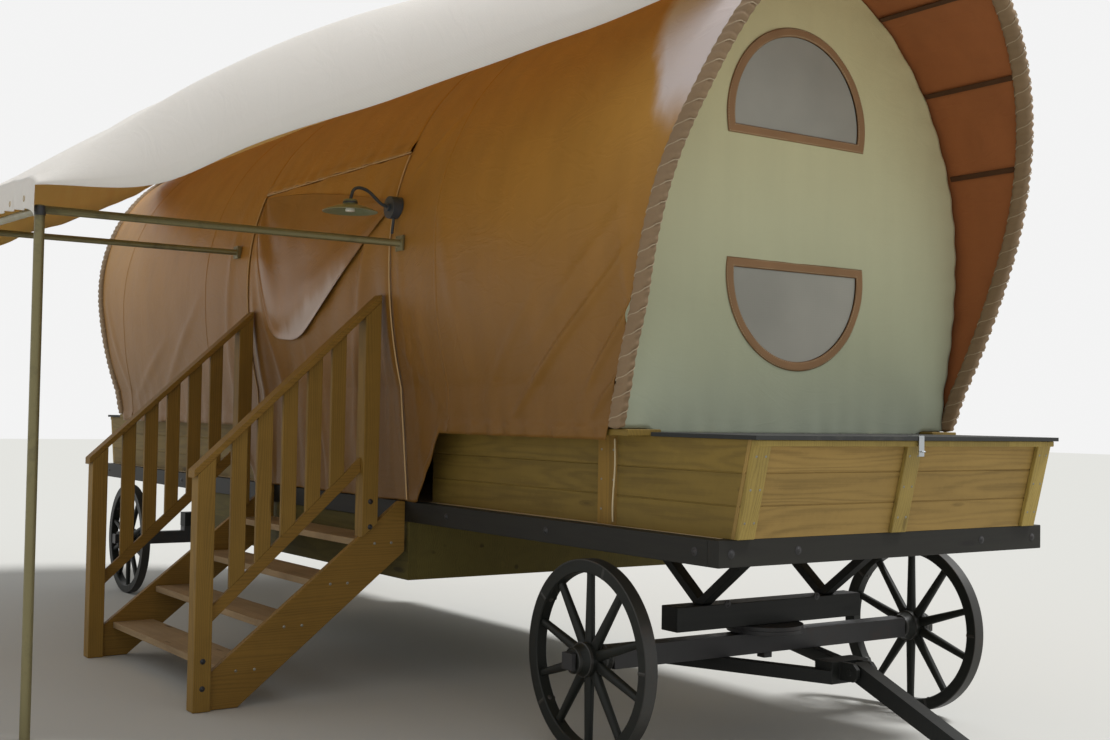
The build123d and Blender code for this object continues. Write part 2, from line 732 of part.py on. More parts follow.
def fly_layer(drop, thick):
    """Layer under the sheet's arc, from a drop below it to a thickness above that, along the whole roof."""
    radius = CROWN_RADIUS + COVER_THICK + CANVAS_GAP
    start = roof_point(radius, FLY_TOUCH, CUT_PAST) - Vector(0, 0, drop)
    edge = Vector(CUT_PAST, FLY_EDGE_Y, FLY_EDGE_Z - drop)
    high = start + Vector(0, 0, thick)
    high_edge = edge + Vector(0, 0, thick)
    edges = [
        Edge.make_three_point_arc(start, bowed(start, edge, FLY_BOW), edge),
        Edge.make_line(edge, high_edge),
        Edge.make_three_point_arc(high_edge, bowed(high, high_edge, FLY_BOW), high),
        Edge.make_line(high, start),
    ]
    return Solid.extrude(Face(Wire.combine(edges)[0]), Vector(-BED_LENGTH - 2 * CUT_PAST, 0, 0))


def fly_valance_space():
    """Space under the sheet down to the hanging edge of its end valances, along the whole roof."""
    radius = CROWN_RADIUS + COVER_THICK + CANVAS_GAP
    top = roof_point(radius, FLY_TOUCH, CUT_PAST)
    shoulder = roof_point(radius, FLY_SHOULDER, CUT_PAST)
    middle = roof_point(radius, (FLY_TOUCH + FLY_SHOULDER) / 2, CUT_PAST)
    edge = Vector(CUT_PAST, FLY_EDGE_Y, FLY_EDGE_Z)
    corner = edge - Vector(0, 0, FLY_CORNER_DROP)
    edges = [
        Edge.make_three_point_arc(top, bowed(top, edge, FLY_BOW), edge),
        Edge.make_line(edge, corner),
        Edge.make_three_point_arc(corner, bowed(shoulder, corner, -FLY_SAG), shoulder),
        Edge.make_three_point_arc(shoulder, middle, top),
    ]
    return Solid.extrude(Face(Wire.combine(edges)[0]), Vector(-BED_LENGTH - 2 * CUT_PAST, 0, 0))


def fly_plan(inset):
    """Plan of the sheet carried up, with its slanting front and rear edges drawn in."""
    front = hoop_x(CROWN_Z) - HEM_WIDTH
    shoulder = -CROWN_RADIUS * sin(radians(FLY_SHOULDER))
    corners = [
        (front - inset, 0),
        (front - inset, shoulder),
        (FLY_FRONT_LOW - inset, FLY_EDGE_Y),
        (FLY_REAR_LOW + inset, FLY_EDGE_Y + FLY_REAR_INSET),
        (-BED_LENGTH - front + inset, shoulder),
        (-BED_LENGTH - front + inset, 0),
    ]
    outline = Polyline(*[(px, py, 0) for px, py in corners], close=True)
    return Solid.extrude(Face(Wire(outline.edges())), Vector(0, 0, CROWN_Z + CUT_PAST))


def fly_sheet():
    """Fly sheet from the crown to its outer edge with valances, rails and posts."""
    ends = (CUT_PAST, -BED_LENGTH - CUT_PAST)
    radius = CROWN_RADIUS + COVER_THICK + CANVAS_GAP
    strip = [roof_point(radius, angle, ends[0]) for angle in (0, FLY_TOUCH / 2, FLY_TOUCH)]
    upper = [point + Vector(0, 0, FLY_THICK) for point in reversed(strip)]
    edges = [
        Edge.make_three_point_arc(*strip),
        Edge.make_line(strip[2], upper[0]),
        Edge.make_three_point_arc(*upper),
        Edge.make_line(upper[2], strip[0]),
    ]
    crown = Solid.extrude(Face(Wire.combine(edges)[0]), Vector(ends[1] - ends[0], 0, 0))
    plan = fly_plan(0)
    sheet = (crown + fly_layer(0, FLY_THICK)) & plan
    valances = fly_valance_space() & (plan - fly_plan(FLY_HEM))
    sheet += valances - cover_body(COVER_THICK + CANVAS_GAP, ends)
    outer_y = (FLY_EDGE_Y, FLY_EDGE_Y + 2 * FLY_REAR_INSET)
    outer = block((FLY_REAR_LOW, FLY_FRONT_LOW), outer_y, (0, CROWN_Z))
    outer = (outer & plan) - plan.moved(Location(Vector(0, FLY_THICK, 0)))
    sheet += fly_layer(FLY_OUTER_DROP, FLY_OUTER_DROP + FLY_THICK) & outer
    hem_cut = leaning_slab(-CUT_PAST, HEM_WIDTH + CANVAS_GAP, 0, CROWN_Z + CUT_PAST)
    write("fly_sheet", sheet - hem_cut - at_rear(hem_cut))

    rails = []
    posts = []
    heads = []
    wall_y = -BELLY_HALF - COVER_THICK - CANVAS_GAP
    for x, z in zip(FLY_RAIL_X, FLY_RAIL_Z):
        post_y = fly_edge_y(x) + FLY_THICK + CANVAS_GAP + FLY_POST_RADIUS
        tube = flat_sided((x, wall_y - FLANGE_THICK, z), (x, post_y, z), FLY_RAIL_RADIUS, TUBE_FLATS)
        flange = block(
            (x - FLANGE_HALF, x + FLANGE_HALF),
            (wall_y - FLANGE_THICK, FLANGE_REACH - BELLY_HALF),
            (z - FLANGE_HALF, z + FLANGE_HALF),
        )
        flange -= cover_body(COVER_THICK + CANVAS_GAP, (x - FLANGE_REACH, x + FLANGE_REACH))
        post = flat_sided((x, post_y, 0), (x, post_y, z + FLY_RAIL_RADIUS), FLY_POST_RADIUS, TUBE_FLATS)
        rails.append(tube + flange - post)
        posts.append(post)
        heads.append((x, post_y, z))
    outer_rail = flat_sided(heads[0], heads[1], FLY_RAIL_RADIUS, TUBE_FLATS)
    rails.append(outer_rail - posts[0] - posts[1])
    write("fly_rails", *rails)
    write("fly_posts", *posts)


def stairs():
    """Open stairs with stringers, treads, newels, handrails, low rails and balusters."""
    rise = DECK_TOP / RISE_COUNT
    slope = rise / STEP_GOING
    pitch = atan2(rise, STEP_GOING)
    rear_x = STAIR_FRONT - STAIR_WIDTH
    inner = (rear_x + STRINGER_THICK, STAIR_FRONT - STRINGER_THICK)
    treads = []
    for k in range(1, RISE_COUNT):
        y = -SILL_HALF - k * STEP_GOING
        z = DECK_TOP - k * rise
        treads.append(block(inner, (y, y + STEP_DEPTH), (z - STEP_THICK, z)))
    write("stair_treads", *treads)

    def edge_z(y, lift):
        return DECK_TOP + (y + SILL_HALF) * slope + lift

    drop = STRINGER_LIFT - STRINGER_DEPTH / cos(pitch)
    foot_y = NEWEL_FOOT_Y + NEWEL_SIZE
    stringer_points = [
        (-SILL_HALF, DECK_TOP),
        (-SILL_HALF - STRINGER_LIFT / slope, DECK_TOP),
        (foot_y, edge_z(foot_y, STRINGER_LIFT)),
        (foot_y, 0),
        (-SILL_HALF - (DECK_TOP + drop) / slope, 0),
        (-SILL_HALF, edge_z(-SILL_HALF, drop)),
    ]
    front = end_prism(stringer_points, (STAIR_FRONT - STRINGER_THICK, STAIR_FRONT))
    across = Location(Vector(STRINGER_THICK - STAIR_WIDTH, 0, 0))
    write("stair_stringers", front, front.moved(across))

    # handrail line: from above the foot newel to the cover's side
    start = (NEWEL_FOOT_Y - HANDRAIL_DEPTH / 2, NEWEL_TOP)
    end = (TOP_NEWEL_Y + NEWEL_SIZE, HANDRAIL_TOP_Z)
    rail_slope = (end[1] - start[1]) / (end[0] - start[0])

    def rail_z(y):
        return start[1] + (y - start[0]) * rail_slope

    def low_z(y):
        middle = (NEWEL_FOOT_Y + TOP_NEWEL_Y) / 2
        return edge_z(middle, STRINGER_LIFT + LOW_RAIL_RISE) + (y - middle) * rail_slope

    def sloped(y, low, high, x):
        return end_prism([(y[0], low(y[0])), (y[1], low(y[1])), (y[1], high(y[1])), (y[0], high(y[0]))], x)

    side_x = STAIR_FRONT - STRINGER_THICK / 2
    newel_x = (side_x - NEWEL_SIZE / 2, side_x + NEWEL_SIZE / 2)
    baluster_x = (side_x - BALUSTER_THICK / 2, side_x + BALUSTER_THICK / 2)
    foot = (NEWEL_FOOT_Y, foot_y)
    head = (TOP_NEWEL_Y, TOP_NEWEL_Y + NEWEL_SIZE)
    newels = [
        sloped(foot, lambda y: 0.0, rail_z, newel_x),
        sloped(head, lambda y: edge_z(y, STRINGER_LIFT), rail_z, newel_x),
    ]
    write("stair_newels", *newels, *[n.moved(across) for n in newels])
    handrail = sloped((start[0], end[0]), rail_z, lambda y: rail_z(y) + HANDRAIL_DEPTH, newel_x)
    write("handrails", handrail, handrail.moved(across))
    low_rail = sloped((foot[1], head[0]), low_z, lambda y: low_z(y) + LOW_RAIL_DEPTH, baluster_x)
    write("low_rails", low_rail, low_rail.moved(across))
    step = (head[0] - foot[1]) / (BALUSTER_COUNT + 1)
    balusters = []
    for k in range(1, BALUSTER_COUNT + 1):
        y = foot[1] + step * k
        span = (y - BALUSTER_WIDTH / 2, y + BALUSTER_WIDTH / 2)
        balusters.append(sloped(span, lambda at: low_z(at) + LOW_RAIL_DEPTH, rail_z, baluster_x))
    write("balusters", *balusters, *[b.moved(across) for b in balusters])


def hub_ring(x, radius, flats):
    """Corners of short flats round the axle at x."""
    turns = [2 * pi * (k + 0.5) / flats for k in range(flats)]
    return [(x + radius * cos(turn), HUB_Z + radius * sin(turn)) for turn in turns]


def wheel(x, side):
    """Ten-spoked wheel with its hub, felloes and tyre, about the axle at x."""
    y = side * WHEEL_TRACK_HALF
    centre = (x, y, HUB_Z)
    half = WHEEL_WIDTH / 2
    rim = rod((x, y - half, HUB_Z), (x, y + half, HUB_Z), WHEEL_RADIUS)
    # the felloes' inside and the hub are worked in short flats
    inside = WHEEL_RADIUS - FELLOE_DEPTH
    rim -= side_prism(hub_ring(x, inside, FELLOE_FLATS), (y - WHEEL_WIDTH, y + WHEEL_WIDTH))
    hub_half = HUB_LENGTH / 2
    body = rim + side_prism(hub_ring(x, HUB_RADIUS, HUB_FLATS), (y - hub_half, y + hub_half))
    spoke_outline = [
        (-SPOKE_WIDE / 2, HUB_RADIUS - SPOKE_TENON),
        (SPOKE_WIDE / 2, HUB_RADIUS - SPOKE_TENON),
        (SPOKE_NARROW / 2, inside + SPOKE_TENON),
        (-SPOKE_NARROW / 2, inside + SPOKE_TENON),
    ]
    spoke = side_prism(spoke_outline, (-SPOKE_DEPTH / 2, SPOKE_DEPTH / 2))
    for k in range(SPOKE_COUNT):
        body += Pos(*centre) * Rot(0, k * 360 / SPOKE_COUNT, 0) * spoke
    reach = HUB_LENGTH
    body -= rod((x, y - reach, HUB_Z), (x, y + reach, HUB_Z), ARM_RADIUS + RUNNING_GAP)
    return body


def axle(x):
    """Beam with a turned arm and nut at each end."""
    beam_half = WHEEL_TRACK_HALF - HUB_LENGTH / 2 - END_GAP
    arm_end = WHEEL_TRACK_HALF + HUB_LENGTH / 2 + END_GAP
    beam = block(
        (x - AXLE_BEAM / 2, x + AXLE_BEAM / 2),
        (-beam_half, beam_half),
        (BEAM_BOTTOM, BEAM_TOP),
    )
    for side in (-1, 1):
        beam += rod((x, side * (beam_half - END_GAP), HUB_Z), (x, side * arm_end, HUB_Z), ARM_RADIUS)
        beam += block(
            (x - ARM_NUT_HALF, x + ARM_NUT_HALF),
            sorted((side * arm_end, side * (arm_end + ARM_NUT_THICK))),
            (HUB_Z - ARM_NUT_HALF, HUB_Z + ARM_NUT_HALF),
        )
    return beam


def undercarriage():
    """Bolsters, struts and axles, with the turning plates and king pin at the front."""
    plates_top = BEAM_TOP + 2 * PLATE_THICK
    bolster = block(
        (FRONT_AXLE_X - BOLSTER_WIDTH / 2, FRONT_AXLE_X + BOLSTER_WIDTH / 2),
        (-BOLSTER_HALF, BOLSTER_HALF),
        (plates_top, BOLSTER_TOP),
    )
    write("bolsters", bolster, at_rear(bolster))

    height = SILL_BOTTOM - BOLSTER_TOP
    half = STRUT_WIDTH / 2
    struts = None
    for sign in (-1, 1):
        outline = [
            (FRONT_AXLE_X - half, BOLSTER_TOP),
            (FRONT_AXLE_X + half, BOLSTER_TOP),
            (FRONT_AXLE_X + sign * STRUT_SPREAD + half, BOLSTER_TOP + height),
            (FRONT_AXLE_X + sign * STRUT_SPREAD - half, BOLSTER_TOP + height),
        ]
        leg = side_prism(outline, (-STRUT_Y - STRUT_THICK / 2, -STRUT_Y + STRUT_THICK / 2))
        struts = leg if struts is None else struts + leg
    pair = [struts, mirrored(struts)]
    write("body_struts", *pair, *[at_rear(s) for s in pair])

    plate_low = BEAM_TOP + PLATE_THICK + CANVAS_GAP
    upper = rod((FRONT_AXLE_X, 0, plate_low), (FRONT_AXLE_X, 0, plates_top), PLATE_RADIUS)
    pin_low = BEAM_BOTTOM - END_GAP
    upper += rod((FRONT_AXLE_X, 0, pin_low - KING_NUT_THICK), (FRONT_AXLE_X, 0, plates_top), KING_RADIUS)
    upper += block(
        (FRONT_AXLE_X - KING_NUT_HALF, FRONT_AXLE_X + KING_NUT_HALF),
        (-KING_NUT_HALF, KING_NUT_HALF),
        (pin_low - KING_NUT_THICK, pin_low),
    )
    write("king_pin_plate", upper)

    front = axle(FRONT_AXLE_X)
    bore = rod((FRONT_AXLE_X, 0, 0), (FRONT_AXLE_X, 0, BOLSTER_TOP), KING_RADIUS + RUNNING_GAP)
    write("front_axle", front - bore)
    lower = rod((FRONT_AXLE_X, 0, BEAM_TOP), (FRONT_AXLE_X, 0, BEAM_TOP + PLATE_THICK), PLATE_RADIUS)
    write("turning_plate", lower - bore)
    rear = axle(REAR_AXLE_X)
    half = AXLE_BEAM / 2
    spacer_x = (REAR_AXLE_X - half, REAR_AXLE_X + half)
    spacer = block(spacer_x, (-BOLSTER_HALF, BOLSTER_HALF), (BEAM_TOP, plates_top))
    write("rear_axle", rear + spacer)

    for end, x in (("front", FRONT_AXLE_X), ("rear", REAR_AXLE_X)):
        for side_name, side in (("right", -1), ("left", 1)):
            write(f"wheel_{end}_{side_name}", wheel(x, side))

    casing_x = (CASING_FRONT - BED_LENGTH, -CASING_FRONT)
    casing = block(casing_x, (-CASING_HALF, CASING_HALF), (CASING_BOTTOM, SILL_BOTTOM))
    casing -= block(
        (casing_x[0] + CASING_WALL, casing_x[1] - CASING_WALL),
        (-CASING_HALF + CASING_WALL, CASING_HALF - CASING_WALL),
        (CASING_BOTTOM + CASING_WALL, SILL_BOTTOM + CASING_WALL),
    )
    write("underfloor_casing", casing)


def hounds():
    """Two converging timbers under the front axle, with ears for the drawbar."""
    low, high = BEAM_BOTTOM - HOUND_SIZE, BEAM_BOTTOM
    front_x = PIVOT_X - EAR_RADIUS - HEAD_GAP
    half = HOUND_SIZE / 2
    body = None
    for sign in (-1, 1):
        rear_y, front_y = sign * HOUND_REAR_Y, sign * HOUND_FRONT_Y
        outline = Polyline(
            (-HOUND_REAR_X, rear_y - half, low),
            (front_x, front_y - half, low),
            (front_x, front_y + half, low),
            (-HOUND_REAR_X, rear_y + half, low),
            close=True,
        )
        timber = Solid.extrude(Face(Wire(outline.edges())), Vector(0, 0, high - low))
        body = timber if body is None else body + timber
    sway_x = (-HOUND_REAR_X, -HOUND_REAR_X + HOUND_SIZE)
    sway = block(sway_x, (-HOUND_REAR_Y - half, HOUND_REAR_Y + half), (low, high))
    head_y = (-HOUND_FRONT_Y - half, HOUND_FRONT_Y + half)
    head = block((front_x - HEAD_LENGTH, front_x), head_y, (low, PIVOT_Z + EAR_RADIUS))
    body = body + sway + head
    ear_in = BAR_WIDTH / 2 + BAR_SIDE_GAP
    nose = EAR_RADIUS * tan(pi / 8)
    ear_outline = [
        (front_x, PIVOT_Z - EAR_RADIUS),
        (PIVOT_X + nose, PIVOT_Z - EAR_RADIUS),
        (PIVOT_X + EAR_RADIUS, PIVOT_Z - nose),
        (PIVOT_X + EAR_RADIUS, PIVOT_Z + nose),
        (PIVOT_X + nose, PIVOT_Z + EAR_RADIUS),
        (front_x, PIVOT_Z + EAR_RADIUS),
    ]
    for sign in (-1, 1):
        body += side_prism(ear_outline, sorted((sign * ear_in, sign * (ear_in + EAR_THICK))))
    pin_half = ear_in + EAR_THICK + PIN_PROUD
    body += rod((PIVOT_X, -pin_half, PIVOT_Z), (PIVOT_X, pin_half, PIVOT_Z), PIVOT_PIN_RADIUS)
    write("fore_hounds", body)


def drawbar():
    """Pole on the pivot pin, resting on the ground at its towing eye."""
    eye_x = BAR_REACH - EYE_RADIUS
    nose = EAR_RADIUS * tan(pi / 8)
    pole_points = [
        (-nose, -EAR_RADIUS),
        (eye_x - SHANK_OUT, BAR_TAPER - EAR_RADIUS),
        (eye_x - SHANK_OUT, EAR_RADIUS - BAR_TAPER),
        (-nose, EAR_RADIUS),
        (-EAR_RADIUS, nose),
        (-EAR_RADIUS, -nose),
    ]
    pole = side_prism(pole_points, (-BAR_WIDTH / 2, BAR_WIDTH / 2))
    shank_y = (-SHANK_WIDTH / 2, SHANK_WIDTH / 2)
    shank = block((eye_x - SHANK_LENGTH, eye_x), shank_y, (-EYE_THICK / 2, EYE_THICK / 2))
    pole += shank
    pole += Pos(eye_x, 0, 0) * Cylinder(EYE_RADIUS, EYE_THICK)
    pole -= Pos(eye_x, 0, 0) * Cylinder(EYE_BORE, 3 * EYE_THICK)
    pole -= rod((0, -BAR_WIDTH, 0), (0, BAR_WIDTH, 0), PIVOT_PIN_RADIUS + RUNNING_GAP)
    write("drawbar", Pos(PIVOT_X, 0, PIVOT_Z) * Rot(0, BAR_ANGLE, 0) * pole)


def lamp():
    """Wall lamp with a round base, a swan neck and an open shade."""
    wall_y = -section_half(BELLY_Z, COVER_THICK) - CANVAS_GAP
    start_y = wall_y - LAMP_BASE_THICK
    base = rod((LAMP_X, LAMP_SEAT - BELLY_HALF, LAMP_Z), (LAMP_X, start_y, LAMP_Z), LAMP_BASE_RADIUS)
    base -= cover_body(COVER_THICK + CANVAS_GAP, (LAMP_X - LAMP_SEAT, LAMP_X + LAMP_SEAT))
    write("lamp_base", base)
    out = LAMP_REACH
    top_z = LAMP_Z + LAMP_DROP
    neck = Polyline(
        (LAMP_X, start_y, LAMP_Z),
        (LAMP_X, start_y - LAMP_STUB, LAMP_Z),
        (LAMP_X, start_y - out + LAMP_CROOK, LAMP_Z + LAMP_RISE),
        (LAMP_X, start_y - out + LAMP_BEND, LAMP_Z + LAMP_RISE),
        (LAMP_X, start_y - out, LAMP_Z + LAMP_RISE - LAMP_BEND),
        (LAMP_X, start_y - out, top_z),
    )
    cut = Plane(origin=neck @ 0, z_dir=neck % 0) * RegularPolygon(LAMP_ARM_RADIUS, LAMP_ARM_FLATS)
    write("lamp_arm", sweep(cut, path=neck, transition=Transition.RIGHT))
    outer = [(SHADE_NECK, 0), (SHADE_RADIUS, -SHADE_HEIGHT)]
    inner = [(SHADE_NECK - SHADE_WALL, -SHADE_CAP), (SHADE_RADIUS - SHADE_WALL, -SHADE_HEIGHT)]
    shade = flat_cone(outer, SHADE_FLATS) - flat_cone(inner, SHADE_FLATS)
    write("lamp_shade", Pos(LAMP_X, start_y - out, top_z) * shade)


bed()
box()
lockers()
cover()
fly_sheet()
stairs()
undercarriage()
hounds()
drawbar()
lamp()
print("origin", round(ORIGIN_X, 1), round(ORIGIN_Y, 1))
print("reach", round(FRONT_REACH, 1), round(REAR_REACH, 1))
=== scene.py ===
"""Looks of the covered camping wagon, built round its CAD frame.

Lengths are metres. Soft pieces are worked out in the wagon's own axes, with X forward from the
front sill, Y to the left of the centre line and Z up from the ground, and are moved to the
frame's place when their mesh is made. New pieces are grids of points: a shape is a function of
two parameters, or a profile carried along a path.
"""

import json

import bmesh
import bpy
import numpy as np
from mathutils import Matrix, Vector
from mathutils.bvhtree import BVHTree


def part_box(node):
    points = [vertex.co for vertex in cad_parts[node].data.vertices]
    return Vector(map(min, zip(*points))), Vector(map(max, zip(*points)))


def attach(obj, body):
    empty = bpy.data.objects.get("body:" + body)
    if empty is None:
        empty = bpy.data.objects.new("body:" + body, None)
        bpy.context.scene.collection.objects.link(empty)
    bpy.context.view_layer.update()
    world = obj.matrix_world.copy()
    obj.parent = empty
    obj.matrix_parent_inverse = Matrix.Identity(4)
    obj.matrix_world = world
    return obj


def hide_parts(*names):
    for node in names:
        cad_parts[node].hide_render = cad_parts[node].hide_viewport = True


bl_info = {
    "name": "Covered camping wagon",
    "version": (1, 0, 0),
    "blender": (4, 5, 0),
    "location": "View3D > Sidebar > Wagon",
    "description": "Builds the canvas, timber, iron and stage of a covered camping wagon",
    "category": "Add Mesh",
}

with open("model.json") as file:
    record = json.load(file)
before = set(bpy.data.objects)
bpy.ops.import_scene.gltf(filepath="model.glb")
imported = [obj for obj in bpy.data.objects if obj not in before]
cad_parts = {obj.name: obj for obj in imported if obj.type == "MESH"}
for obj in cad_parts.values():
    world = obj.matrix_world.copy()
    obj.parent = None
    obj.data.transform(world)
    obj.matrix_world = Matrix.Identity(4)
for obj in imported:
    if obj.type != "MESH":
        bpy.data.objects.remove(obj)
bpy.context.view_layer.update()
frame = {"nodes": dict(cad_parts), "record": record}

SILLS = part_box("end_sills")
FRONT_X = SILLS[1].x
CENTRE_Y = (SILLS[0].y + SILLS[1].y) / 2
ORIGIN = np.array((FRONT_X, CENTRE_Y, 0.0))
BED = SILLS[1].x - SILLS[0].x

# the front hem leans forward by LEAN for each metre of height, from its foot at (x, z)
LEAN = np.tan(np.radians(18.4))
HEM_FOOT = (-0.525, 1.689)
HEM_WIDTH = 0.095
WALL_X = -0.643

# heights of the box: foot of its boards, top of its lids, top of the rails under the hoops
BOX_FOOT, BOX_TOP, RAIL_TOP = 1.056, 1.47, 1.5
PLANK = 0.138

# gap for the door in the cover's side, and the middle of the stairs in front of it
DOOR_REAR, DOOR_FRONT, DOOR_HEAD = -4.64, -2.60, 3.02
STAIR_X = -3.6

# front and rear rail of the fly sheet, and the hinges on either side of a lid's middle
RAIL_X = (-2.47, -4.85)
HINGE_Y = 0.56

# sockets of shader nodes that several finishes set alike
SMOOTH = {"interpolation_type": "SMOOTHSTEP"}
COLOURS = {"data_type": "RGBA"}

# width in metres of one band of a Wave Texture at scale 1
WAVE_BAND = 0.314

# points closer than this are one point, in a grid and in a CAD node's loose triangles
WELD, CAD_WELD = 1e-5, 2e-5


def linear(code):
    """Linear light of an sRGB hex colour, with alpha 1."""
    value = np.array([int(code[k : k + 2], 16) for k in (1, 3, 5)]) / 255
    light = np.where(value <= 0.04045, value / 12.92, ((value + 0.055) / 1.055) ** 2.4)
    return (*light.tolist(), 1.0)


def length(name, text, metres):
    """Size that a user can change."""
    return bpy.props.FloatProperty(name=name, description=text, default=metres, min=0.0, unit="LENGTH")


def tint(name, text, code):
    """Colour that a user can change."""
    return bpy.props.FloatVectorProperty(
        name=name, description=text, size=4, subtype="COLOR", min=0.0, max=1.0, default=linear(code)
    )


def amount(name, text, value):
    """Plain number that a user can change."""
    return bpy.props.FloatProperty(name=name, description=text, default=value, min=0.0)


class CoverSettings(bpy.types.PropertyGroup):
    """Canvas cover, its hems, end walls and side door."""

    crown_radius: length("Crown radius", "Radius of the cover's top arc", 1.06)
    crown_angle: amount("Crown angle", "Half the angle of the top arc, in degrees", 41.3)
    crown_height: length("Crown height", "Height of the crown above the ground", 3.8)
    belly_half: length("Belly half width", "Half width of the cover where it is widest", 1.205)
    belly_height: length("Belly height", "Height at which the cover is widest", 2.42)
    low_radius: length("Low side radius", "Radius of the side below the belly", 2.9)
    low_height: length("Low arc end", "Height at which the low arc ends", 1.7)
    foot_half: length("Foot half width", "Half width of the skirt at its foot", 1.062)
    foot_height: length("Foot height", "Height of the skirt's foot", 1.06)
    hem_height: length("Hem height", "Height of the cover's side hem", 1.45)
    fold: amount("Fold depth", "How deep the cloth's folds are, 1 as modelled", 1.0)
    outer: tint("Canvas", "Coated canvas, outer side", "#a0722c")
    inner: tint("Canvas inside", "Coated canvas, inner side with light through it", "#a8663a")
    hem: tint("Hem", "Laced sleeve at the ends", "#8a7358")
    wall: tint("End wall", "Cream canvas of the end walls", "#d2d0ac")
    border: tint("Window border", "Binding round the windows", "#92704e")
    pane: tint("Window film", "Frosted film in the windows", "#a6a498")


class FlySettings(bpy.types.PropertyGroup):
    """Fly sheet beside the wagon."""

    edge_out: length("Outer edge", "Distance of the front outer corner from the centre line", 3.1753)
    edge_height: length("Edge height", "Height of the outer front corner", 2.65)
    bow: length("Bow", "Rise of the sheet above the straight line to its edge", 0.25)
    front_sag: length("Front sag", "How far the front hem hangs below its corners", 0.175)
    valance: length("Valance", "Drop of the outer valance", 0.15)
    # painted sunlight: the outer side's near white stands for tan canvas in full sun
    outer: tint("Outer side", "Sun bleached canvas", "#f3f0ea")
    inner: tint("Under side", "Canvas with the sun through it", "#f0d088")


class TimberSettings(bpy.types.PropertyGroup):
    """Boards, posts and stairs."""

    edge: length("Eased edge", "Width of the rounded edge of sawn timber", 0.004)
    pine: tint("Pine", "Oiled pine, lit side", "#987c44")
    pine_dark: tint("Pine grain", "Oiled pine, dark grain", "#4e3c18")
    stain: tint("Stained timber", "Dark stained timber", "#22211c")
    lid: tint("Lid felt", "Dark felt on the locker lids", "#2a2b2a")


class IronSettings(bpy.types.PropertyGroup):
    """Wheels, running gear, rails and lamp."""

    wheel_radius: length("Wheel radius", "Radius over the iron tyre", 0.4525)
    spokes: bpy.props.IntProperty(name="Spokes", description="Spokes in a wheel", default=10, min=6, max=16)
    bolt: length("Bolt head", "Radius of a coach bolt's head", 0.014)
    wheel: tint("Wheel paint", "Near black paint on the wheels", "#1c1e1a")
    tube: tint("Rail tube", "Dull galvanised tube", "#7c7450")
    enamel: tint("Lamp enamel", "Grey green enamel", "#7b8468")
    lamp: tint("Lamp iron", "Dark slate paint", "#3a4149")


class StageSettings(bpy.types.PropertyGroup):
    """Floor, light and camera."""

    floor: tint("Floor", "Plain pale floor", "#c4c4c0")
    key: amount("Key lamp", "Strength of the sun lamp", 3.1)
    sky: amount("Sky", "Strength of the even light", 0.55)
    focal: bpy.props.FloatProperty(
        name="Focal length", description="Lens of the camera", default=45.08, min=1.0, unit="CAMERA"
    )


def add(tree, kind, sockets=None, stops=(), **settings):
    """Adds one node and gives its outputs.

    A socket is named, or numbered where several share a name. It takes a number, a colour or
    another node's output. stops are the places and colours of a ramp.
    """
    node = tree.nodes.new("ShaderNode" + kind)
    for name, value in settings.items():
        setattr(node, name, value)
    for place, value in (sockets or {}).items():
        if isinstance(value, bpy.types.NodeSocket):
            tree.links.new(value, node.inputs[place])
        else:
            node.inputs[place].default_value = value
    for number, (position, colour) in enumerate(stops):
        ramp = node.color_ramp.elements
        stop = ramp[number] if number < len(ramp) else ramp.new(position)
        stop.position, stop.color = position, colour
    return node.outputs


def finish(name, build):
    """Material by name, made once: build fills its tree and gives the shader's output."""
    known = bpy.data.materials.get(name)
    if known:
        return known
    material = bpy.data.materials.new(name)
    material.use_nodes = True
    tree = material.node_tree
    tree.nodes.clear()
    add(tree, "OutputMaterial", {0: build(tree)})
    return material


def shade(colour, factor):
    """The same colour, lighter or darker."""
    return (*[min(1.0, c * factor) for c in colour[:3]], 1.0)


